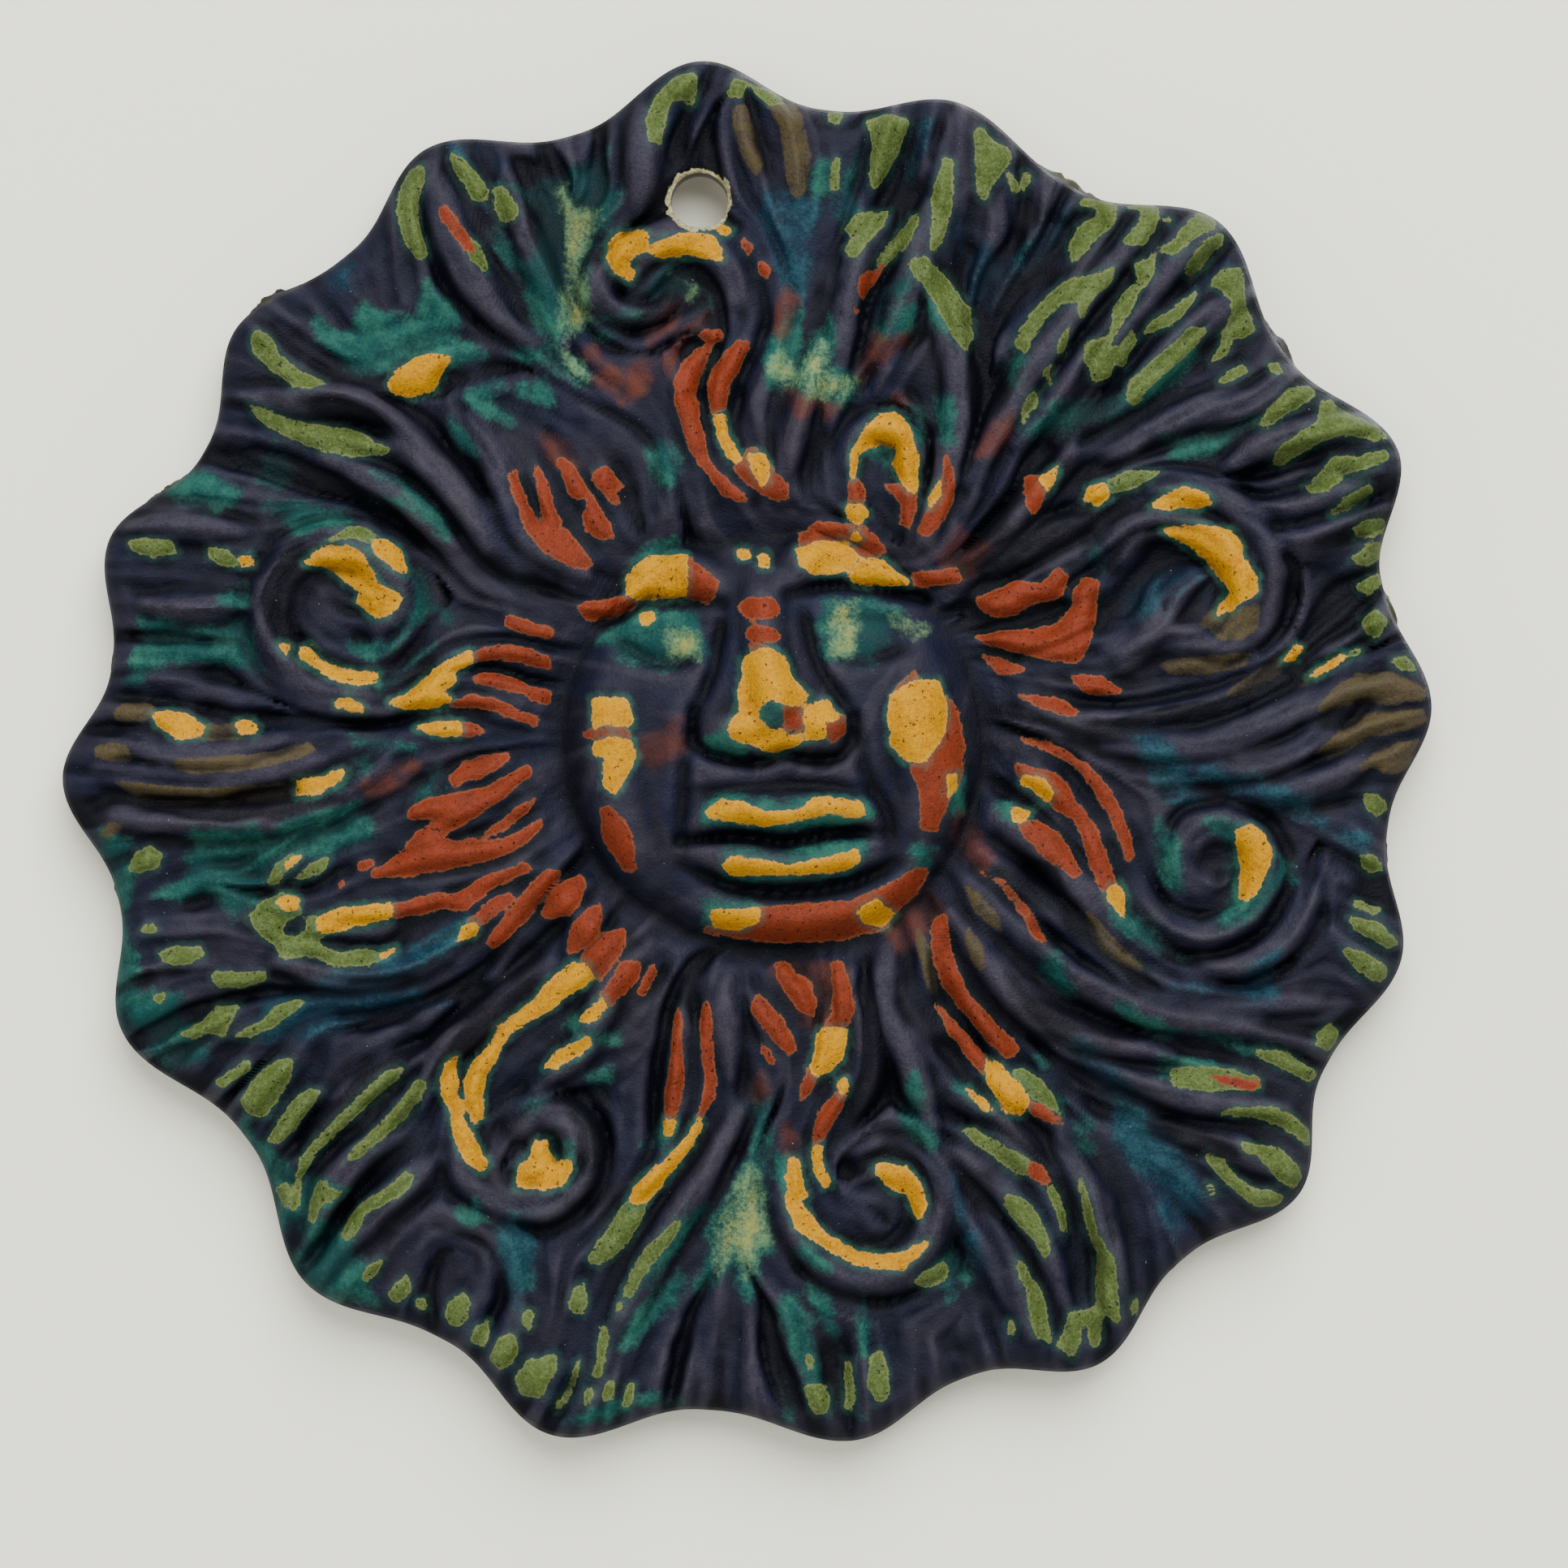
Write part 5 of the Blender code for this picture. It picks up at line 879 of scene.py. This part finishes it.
def buildPlaque():
    # A square grid laid on the disc, then rings down the side and a fan closing the back
    cells = plaque["cells"]
    x, z = layDisc(cells)
    share = np.hypot(x, z)
    rim = rayReach(np.arctan2(z, x))
    middle = rim.mean()
    reach = middle + (rim - middle) * share ** 3
    x, z = x * reach, z * reach
    index = np.arange((cells + 1) ** 2).reshape(cells + 1, cells + 1)
    loop = np.concatenate((index[0, :-1], index[:-1, -1], index[-1, :0:-1], index[:0:-1, 0]))
    front = np.column_stack((x, -frontHeight(x, z), z))
    corners = (index[:-1, :-1], index[:-1, 1:], index[1:, 1:], index[1:, :-1])
    quads = np.column_stack([corner.ravel() for corner in corners])
    rimTurn = np.arctan2(z[loop], x[loop])
    backReach = backOutline(rimTurn)
    points, now, total = [front], loop, len(front)
    for k in range(1, plaque["wallRings"] + 1):
        t = k / plaque["wallRings"]
        rough = np.abs(sample(lumps(20 + k, 0.9), x[loop], z[loop]))
        ragged = plaque["flashRag"] * rough * np.clip(backReach - rim[loop], 0.1, 1)
        ringReach = rim[loop] + (backReach - rim[loop]) * min(1, t * 1.25) ** 1.5 - ragged
        y = front[loop, 1] * (1 - t)
        points.append(np.column_stack((ringReach * np.cos(rimTurn), y, ringReach * np.sin(rimTurn))))
        before, now = now, total + np.arange(len(loop))
        total += len(loop)
        side = np.column_stack((before, now, np.roll(now, -1), np.roll(before, -1)))
        quads = np.vstack((quads, side))
    points.append(np.zeros((1, 3)))
    fan = np.column_stack((now, np.full(len(now), total), np.roll(now, -1)))
    place = (np.vstack(points) - np.array((holeX, 0, holeZ))) / 1000
    mesh = bpy.data.meshes.new("casting")
    mesh.from_pydata(place, [], quads.tolist() + fan.tolist())
    mesh.update()
    return mesh


def drillHole(piece):
    # A cylinder through the origin is cut out and the modifier's result kept as the mesh
    bpy.ops.mesh.primitive_cylinder_add(vertices=72, radius=plaque["holeRadius"] / 1000, depth=0.04,
                                        rotation=(math.pi / 2, 0, 0))
    drill = bpy.context.object
    cut = piece.modifiers.new("hole", "BOOLEAN")
    cut.operation, cut.solver, cut.object = "DIFFERENCE", "EXACT", drill
    bpy.context.view_layer.update()
    finished = piece.evaluated_get(bpy.context.evaluated_depsgraph_get())
    mesh = bpy.data.meshes.new_from_object(finished)
    piece.modifiers.clear()
    piece.data = mesh
    bpy.data.objects.remove(drill, do_unlink=True)
    mesh.name = "casting"
    return mesh


print("building the casting")
casting = bpy.data.objects.new("casting", buildPlaque())
bpy.context.scene.collection.objects.link(casting)
drilled = drillHole(casting)
drilled.polygons.foreach_set("use_smooth", np.ones(len(drilled.polygons), bool))
drilled.set_sharp_from_angle(angle=math.radians(plaque["sharpAngle"]))

print("marking the paint")
spots = np.empty(len(drilled.vertices) * 3)
drilled.vertices.foreach_get("co", spots)
spots = spots.reshape(-1, 3) * 1000
px, pz = spots[:, 0] + holeX, spots[:, 2] + holeZ
onFront = np.clip((-spots[:, 1] - 2.5) / 1.5, 0, 1)


def mark(name, values):
    # One number a vertex, which the shader reads by name
    attribute = drilled.attributes.new(name, "FLOAT", "POINT")
    attribute.data.foreach_set("value", np.ascontiguousarray(values, np.float32))


for name, field in cover.items():
    mark(name + "Cover", sample(field, px, pz))
mark("streak", sample(wide, px, pz) * onFront)
mark("hair", sample(fine, px, pz) * onFront)
mark("cavity", sample(cavity, px, pz))
mark("groove", sample(groove, px, pz) * onFront)
mark("front", onFront)
mark("rear", np.clip((spots[:, 1] + 0.4) / 0.3, 0, 1))
mark("faceShare", sample(faceShare, px, pz))
print("casting has", len(drilled.vertices), "vertices and", len(drilled.polygons), "faces")


class Wire:
    # A shader socket that takes part in plain arithmetic

    def __init__(self, tree, socket):
        self.tree, self.socket = tree, socket

    def node(self, kind, settings=None, **inputs):
        # Any node: its type, settings, and values or wires for its inputs by name, or n and number
        made = self.tree.nodes.new(kind)
        for name, value in (settings or {}).items():
            setattr(made, name, value)
        for name, value in inputs.items():
            numbered = name[0] == "n" and name[1:].isdigit()
            key = int(name[1:]) if numbered else name.replace("_", " ")
            if isinstance(value, Wire):
                self.tree.links.new(value.socket, made.inputs[key])
            else:
                made.inputs[key].default_value = value
        return made

    def sum(self, operation, a, b=0.0, c=0.0, clamp=False):
        # One step of arithmetic, kept between 0 and 1 where clamp is set
        made = self.node("ShaderNodeMath", dict(operation=operation, use_clamp=clamp),
                         n0=a, n1=b, n2=c)
        return Wire(self.tree, made.outputs[0])

    def __add__(self, other): return self.sum("ADD", self, other)
    def __radd__(self, other): return self.sum("ADD", other, self)
    def __sub__(self, other): return self.sum("SUBTRACT", self, other)
    def __rsub__(self, other): return self.sum("SUBTRACT", other, self)
    def __mul__(self, other): return self.sum("MULTIPLY", self, other)
    def __rmul__(self, other): return self.sum("MULTIPLY", other, self)
    def __truediv__(self, other): return self.sum("DIVIDE", self, other)
    def clamp(self): return self.sum("ADD", self, 0.0, clamp=True)

    def vector(self, operation, other):
        # One step of vector arithmetic
        made = self.node("ShaderNodeVectorMath", dict(operation=operation), n0=self, n1=other)
        return Wire(self.tree, made.outputs[0])

    def ramp(self, low, high):
        # 0 at low, 1 at high, eased in between
        made = self.node("ShaderNodeMapRange", dict(interpolation_type="SMOOTHSTEP"),
                         Value=self, From_Min=low, From_Max=high)
        return Wire(self.tree, made.outputs["Result"])

    def attribute(self, name):
        # One of the numbers marked on the mesh
        made = self.node("ShaderNodeAttribute", dict(attribute_name=name))
        return Wire(self.tree, made.outputs["Fac"])

    def noise(self, scale, detail=2.0, roughness=0.5, shift=0.0):
        # Noise about 0, in lumps of about 1/scale millimetres
        place = self.vector("ADD", (shift, shift, shift))
        made = self.node("ShaderNodeTexNoise", None, Vector=place, Scale=scale, Detail=detail,
                         Roughness=roughness)
        return Wire(self.tree, made.outputs["Fac"]) - 0.5

    def mix(self, other, share):
        # From this colour to the other by share
        made = self.node("ShaderNodeMix", dict(data_type="RGBA"), n0=share, n6=self, n7=other)
        return Wire(self.tree, made.outputs[2])


def colour(red, green, blue):
    # Screen values from 0 to 255 to light: a straight line for the darkest, a power above it
    light = [((c / 255 + 0.055) / 1.055) ** 2.4 if c > 10 else c / 255 / 12.92
             for c in (red, green, blue)]
    return (*light, 1.0)


def rgb(tree, value):
    # A plain colour as a wire
    made = tree.nodes.new("ShaderNodeRGB")
    made.outputs[0].default_value = value
    return Wire(tree, made.outputs[0])


# Colours of the casting, and how ragged the edges of the solid paint are. The near black serves both
# pinholes and painted shade in hollows and grooves; the greyer ridge colour is rubbed coat and painted
# highlight at once
paint = dict(
    dark=colour(28, 27, 39), rubbedAndLit=colour(58, 54, 65), deep=colour(2, 3, 8), navy=colour(9, 19, 45),
    red=colour(118, 46, 24), redDeep=colour(78, 34, 22), rust=colour(84, 44, 34),
    yellow=colour(184, 131, 0), yellowDeep=colour(146, 84, 0), wheat=colour(156, 142, 58),
    green=colour(64, 79, 32), greenPale=colour(98, 112, 70), brown=colour(72, 63, 41),
    teal=colour(6, 62, 60), tealPale=colour(46, 98, 82), pale=colour(92, 122, 86),
    blue=colour(8, 40, 56), bluePale=colour(44, 82, 90), cream=colour(186, 178, 132),
    dust=colour(150, 150, 140), bisque=colour(104, 100, 78), back=colour(92, 84, 72),
    ragScale=0.7, rag=1.1, fineScale=1.9, fine=0.45, byGroove=0.4, edgeWidth=0.08,
    ringIn=3.95, ringOut=4.15, boreIn=3.5, boreOut=3.56, roughness=0.46, gloss=0.1, bump=0.75,
)
# Solid paints: main and second colour, strength of the teal fringe and of the pale line
coats = (("green", "greenPale", 0.22, 0.1), ("red", "redDeep", 0.05, 0.06),
         ("yellow", "yellowDeep", 0.5, 0.12))


def material(name):
    # A new material with its shader and the place on the piece in millimetres
    made = bpy.data.materials.new(name)
    made.use_nodes = True
    tree = made.node_tree
    shader = tree.nodes["Principled BSDF"]
    first = Wire(tree, None)
    place = Wire(tree, first.node("ShaderNodeTexCoord").outputs["Object"])
    scaled = first.node("ShaderNodeVectorMath", dict(operation="SCALE"), n0=place)
    scaled.inputs["Scale"].default_value = 1000
    return made, tree, shader, Wire(tree, scaled.outputs[0])


def darkGround(tree, m):
    # Painted shade and highlight: navy in the fine grooves between the strands, greyer on the ridges and
    # strand backs, where the dark coat is rubbed thin and where the light catches them
    base = rgb(tree, paint["dark"]).mix(paint["navy"], (m["soft"] * 2.4 + 0.35).clamp() * 0.6)
    # Painted shade: navy in the fine grooves between the hair strands
    base = base.mix(paint["navy"], (0 - m["hair"]).ramp(0.3, 1.9) * 0.5)
    base = base.mix(paint["rubbedAndLit"], m["hair"].ramp(0.4, 2.0) * 0.4)
    # Raised parts are lighter in patches: rubbed coat and painted highlight
    patchy = (0.7 + m["mottle"] * 1.6 + m["grain"] * 0.6 + m["speck"] * 1.4)
    return base.mix(paint["rubbedAndLit"], (m["cavity"].ramp(-0.1, 1.1) * patchy).clamp() * 0.85)


def layWashes(base, place, m):
    # Teal, blue, rusty, pale and brown washes in soft streaks along the strands
    streak, hair, mottle, speck = m["streak"], m["hair"], m["mottle"], m["speck"]
    wash = streak * 0.28 + hair * 0.2 + mottle * 2.4 + speck * 1.5
    teal = (place.attribute("tealCover") + wash).ramp(-0.8, 1.0)
    base = base.mix(paint["teal"], teal * (0.8 + streak * 0.14).clamp())
    lit = streak * 0.16 + hair * 0.14 + speck * 1.4 + mottle * 2.2 + m["soft"] + 0.15
    base = base.mix(paint["tealPale"], teal * lit.clamp() * 0.8)
    blue = (place.attribute("blueCover") + wash).ramp(-0.9, 1.4)
    base = base.mix(paint["blue"], blue * (0.75 + streak * 0.14 + mottle).clamp())
    lit = streak * 0.16 + hair * 0.16 + speck * 1.4 + mottle * 1.8
    base = base.mix(paint["bluePale"], blue * lit.clamp() * 0.8)
    rust = (place.attribute("rustCover") + wash * 0.6).ramp(-0.8, 0.8)
    base = base.mix(paint["rust"], rust * (0.6 + mottle * 1.5 + m["grain"]).clamp())
    palest = place.attribute("paleCover")
    pale = (palest + wash * 0.8).ramp(-0.6, 0.9)
    lit = 0.62 + hair * 0.12 + speck * 1.7 + mottle * 1.6
    base = base.mix(paint["pale"], pale * lit.clamp())
    heart = (palest + wash * 0.5).ramp(0.6, 1.7)
    base = base.mix(paint["wheat"], heart * (0.25 + speck * 1.8 + mottle * 2).clamp() * 0.8)
    brown = (place.attribute("brownCover") + m["rag"] * 0.9 + hair * 0.1).ramp(-0.2, 0.2)
    base = base.mix(paint["brown"], brown * (0.85 + m["grain"] + speck * 2 + mottle).clamp())

    # Painted shade: hollows, grooves and the lines between the strands are darkened towards near black, for
    # the shadow in them as well as the dark coat there; less where a wash fills them
    lines = (1 - streak.ramp(-1.25, -0.45)) * 0.85 + (1 - hair.ramp(-1.7, -1.0)) * 0.5
    lines = lines.clamp() * m["outside"]
    free = m["cavity"].ramp(-1.5, 0.35) * (0.2 + m["groove"].ramp(-0.28, 0.04) * 0.8)
    low = (1 - free * (1 - lines)).clamp()
    base = base.mix(paint["deep"], low * (0.9 - teal * 0.3 - blue * 0.35 - pale * 0.35).clamp())
    return base.mix(paint["dust"], place.noise(2.6, 1, 0.5, 51).ramp(0.3, 0.34) * 0.45)


def layCoat(base, tree, place, m, name, second, fringe, line):
    # Solid paint: a ragged edge with a teal fringe outside it and a pale line inside it
    mottle, groove = m["mottle"], m["groove"]
    edge = place.attribute(name + "Cover") + m["rag"]
    edge = edge + groove.sum("MINIMUM", groove, 0.1) * paint["byGroove"]
    mask = edge.ramp(-paint["edgeWidth"], paint["edgeWidth"])
    around = (1 - mask) * edge.ramp(-1.0, -0.1)
    base = base.mix(paint["tealPale"], around * fringe * (0.6 + mottle * 2).clamp())
    patchy = (mottle * 1.8 + m["grain"] * 1.8 + m["speck"] * 2.8 + 0.3).clamp() * 0.7
    fill = rgb(tree, paint[name]).mix(paint[second], patchy)
    fill = fill.mix(paint["cream"], (1 - edge.ramp(0.1, 0.35)) * line)
    pits = place.noise(4.2, 1, 0.5, 13).ramp(0.22, 0.27) * 0.7
    holes = (place.noise(1.7, 1, 0.5, 17).ramp(0.185, 0.215) + pits).clamp()
    if name == "green":
        fill = fill.mix(paint["greenPale"], place.noise(2.4, 2, 0.6, 23).ramp(0.12, 0.2) * 0.8)
    fill = fill.mix(paint["deep"], holes * 0.75)
    # Painted shade: the paint is darkened in the fine grooves
    fill = fill.mix(paint["deep"], (1 - groove.ramp(-0.5, -0.1)) * 0.6)
    return base.mix(fill, mask)


def chipHole(base, tree, place, m):
    # The pale chipped ring and the wall of the hanging hole, by the distance from its middle
    flat = place.vector("MULTIPLY", (1, 0, 1))
    length = place.node("ShaderNodeVectorMath", dict(operation="LENGTH"), n0=flat)
    away = Wire(tree, length.outputs["Value"])
    ring = 1 - (away + m["rag"] * 0.9 + m["mottle"] * 1.2).ramp(paint["ringIn"], paint["ringOut"])
    chips = rgb(tree, paint["cream"]).mix(paint["bisque"], (m["speck"] * 3 + 0.4).clamp())
    base = base.mix(chips, ring)
    return base.mix(paint["bisque"], (1 - away.ramp(paint["boreIn"], paint["boreOut"])) * 0.9)


def paintCasting():
    made, tree, shader, place = material("paintedCasting")
    # The fields that all layers share: noises from coarse to fine, and marks of the mesh
    m = {name: place.attribute(name) for name in ("streak", "hair", "cavity", "groove")}
    m["outside"] = place.attribute("faceShare").ramp(0.98, 1.08)
    m["mottle"], m["soft"] = place.noise(0.35, 3, 0.6, 3), place.noise(0.12, 2, 0.5, 11)
    m["grain"], m["speck"] = place.noise(5.0, 2, 0.7, 5), place.noise(2.0, 2, 0.75, 41)
    m["rag"] = (place.noise(paint["ragScale"], 4, 0.62) * paint["rag"]
                + place.noise(paint["fineScale"], 2, 0.6, 7) * paint["fine"])
    base = layWashes(darkGround(tree, m), place, m)
    for coat in coats:
        base = layCoat(base, tree, place, m, *coat)
    base = chipHole(base, tree, place, m)

    # The side is as dark as the rim, with green and brown on its flash; the back is bare
    side = rgb(tree, paint["dark"]).mix(paint["green"], (m["soft"] * 6 + 0.2).clamp() * 0.5)
    side = side.mix(paint["brown"], (m["mottle"] * 2 + 0.4).clamp() * 0.6)
    base = side.mix(base, place.attribute("front"))
    base = base.mix(paint["back"], place.attribute("rear"))
    tree.links.new(base.socket, shader.inputs["Base Color"])
    shader.inputs["Specular IOR Level"].default_value = paint["gloss"]

    raised = m["cavity"].ramp(-0.5, 0.9)
    rough = paint["roughness"] + m["mottle"] * 0.3 + m["grain"] * 0.2 + (1 - raised) * 0.12
    tree.links.new(rough.clamp().socket, shader.inputs["Roughness"])
    height = m["grain"] * 0.14 + m["speck"] * 0.18 + place.noise(1.2, 3, 0.65, 31) * 0.2
    height = height + m["hair"] * (m["outside"] * 0.09 + 0.03)
    bump = place.node("ShaderNodeBump", None, Strength=paint["bump"], Distance=0.001, Height=height)
    tree.links.new(bump.outputs["Normal"], shader.inputs["Normal"])
    return made


print("painting")
casting.data.materials.clear()
casting.data.materials.append(paintCasting())
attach(casting, "root")
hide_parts("sun_plate")

# Stage: a pale wall behind the plaque that is clear from behind, and a floor far below
stage = dict(wallGap=0.0006, wallSize=3.0, wallColour=colour(252, 252, 235), wallRoughness=0.85,
             scratch=colour(196, 196, 176), floorDrop=1.3, floorSize=8.0,
             floorColour=colour(214, 214, 208), floorRoughness=0.8,
             worldColour=(0.98, 0.98, 0.96, 1), worldStrength=0.8)


def buildPlane(name, size, place, turn=0.0):
    bpy.ops.mesh.primitive_plane_add(size=size, location=place, rotation=(turn, 0, 0))
    plane = bpy.context.object
    plane.name = name
    return plane


def buildWall():
    wall = buildPlane("wall", stage["wallSize"], (0, stage["wallGap"], 0), math.pi / 2)
    made, tree, shader, place = material("paleWall")
    specks = place.noise(0.09, 2, 0.5).ramp(0.27, 0.3) * place.noise(0.9, 2, 0.5, 9).ramp(0.1, 0.2)
    base = rgb(tree, stage["wallColour"]).mix(stage["scratch"], specks * 0.5)
    tree.links.new(base.socket, shader.inputs["Base Color"])
    shader.inputs["Roughness"].default_value = stage["wallRoughness"]
    # See-through from behind, so that the plaque's back can be looked at
    seen = place.node("ShaderNodeNewGeometry").outputs["Backfacing"]
    clear = place.node("ShaderNodeBsdfTransparent").outputs[0]
    both = place.node("ShaderNodeMixShader")
    for n, socket in enumerate((seen, shader.outputs[0], clear)):
        tree.links.new(socket, both.inputs[n])
    tree.links.new(both.outputs[0], tree.nodes["Material Output"].inputs["Surface"])
    wall.data.materials.append(made)
    wall.visible_shadow = wall.visible_diffuse = wall.visible_glossy = False
    return wall


def buildFloor():
    floor = buildPlane("floor", stage["floorSize"], (0, 0, -stage["floorDrop"]))
    made, tree, shader, place = material("paleFloor")
    shader.inputs["Base Color"].default_value = stage["floorColour"]
    shader.inputs["Roughness"].default_value = stage["floorRoughness"]
    floor.data.materials.append(made)
    return floor


print("setting the stage")
buildWall()
buildFloor()

# Light: a broad soft lamp above and in front, a weaker one at the left, and a pale room
lamps = dict(
    key=dict(place=(0.25, -1.25, 0.95), size=1.5, power=48.0),
    fill=dict(place=(-1.2, -1.2, -0.2), size=1.4, power=6.0),
    behind=dict(place=(0.6, 1.4, 0.8), size=1.5, power=14.0),
)
for name, lamp in lamps.items():
    data = bpy.data.lights.new(name, "AREA")
    data.shape, data.size, data.energy = "DISK", lamp["size"], lamp["power"]
    light = bpy.data.objects.new(name, data)
    bpy.context.scene.collection.objects.link(light)
    light.location = lamp["place"]
    # Turned so that it faces the plaque's middle
    toward = np.array((-holeX, 0, -holeZ)) / 1000 - np.array(lamp["place"])
    tilt = math.atan2(math.hypot(toward[0], toward[1]), -toward[2])
    light.rotation_euler = (tilt, 0, math.atan2(toward[1], toward[0]) - math.pi / 2)
world = bpy.data.worlds.new("room")
bpy.context.scene.world = world
world.use_nodes = True
room = world.node_tree.nodes["Background"].inputs
room["Color"].default_value, room["Strength"].default_value = stage["worldColour"], stage["worldStrength"]

# Camera square on to the wall; the picture is 193.2 mm wide at the plaque
view = dict(distance=1.0, across=4.5, up=-4.1, pictureWidth=193.2, depth=7.0, sensor=36.0)
cameraData = bpy.data.cameras.new("camera")
cameraData.sensor_width = view["sensor"]
cameraData.lens = view["sensor"] * view["distance"] * 1000 / view["pictureWidth"]
cameraData.clip_start = 0.01
camera = bpy.data.objects.new("camera", cameraData)
bpy.context.scene.collection.objects.link(camera)
camera.location = ((view["across"] - holeX) / 1000, -view["distance"] - view["depth"] / 1000,
                   (view["up"] - holeZ) / 1000)
camera.rotation_euler = (math.pi / 2, 0, 0)
bpy.context.scene.camera = camera
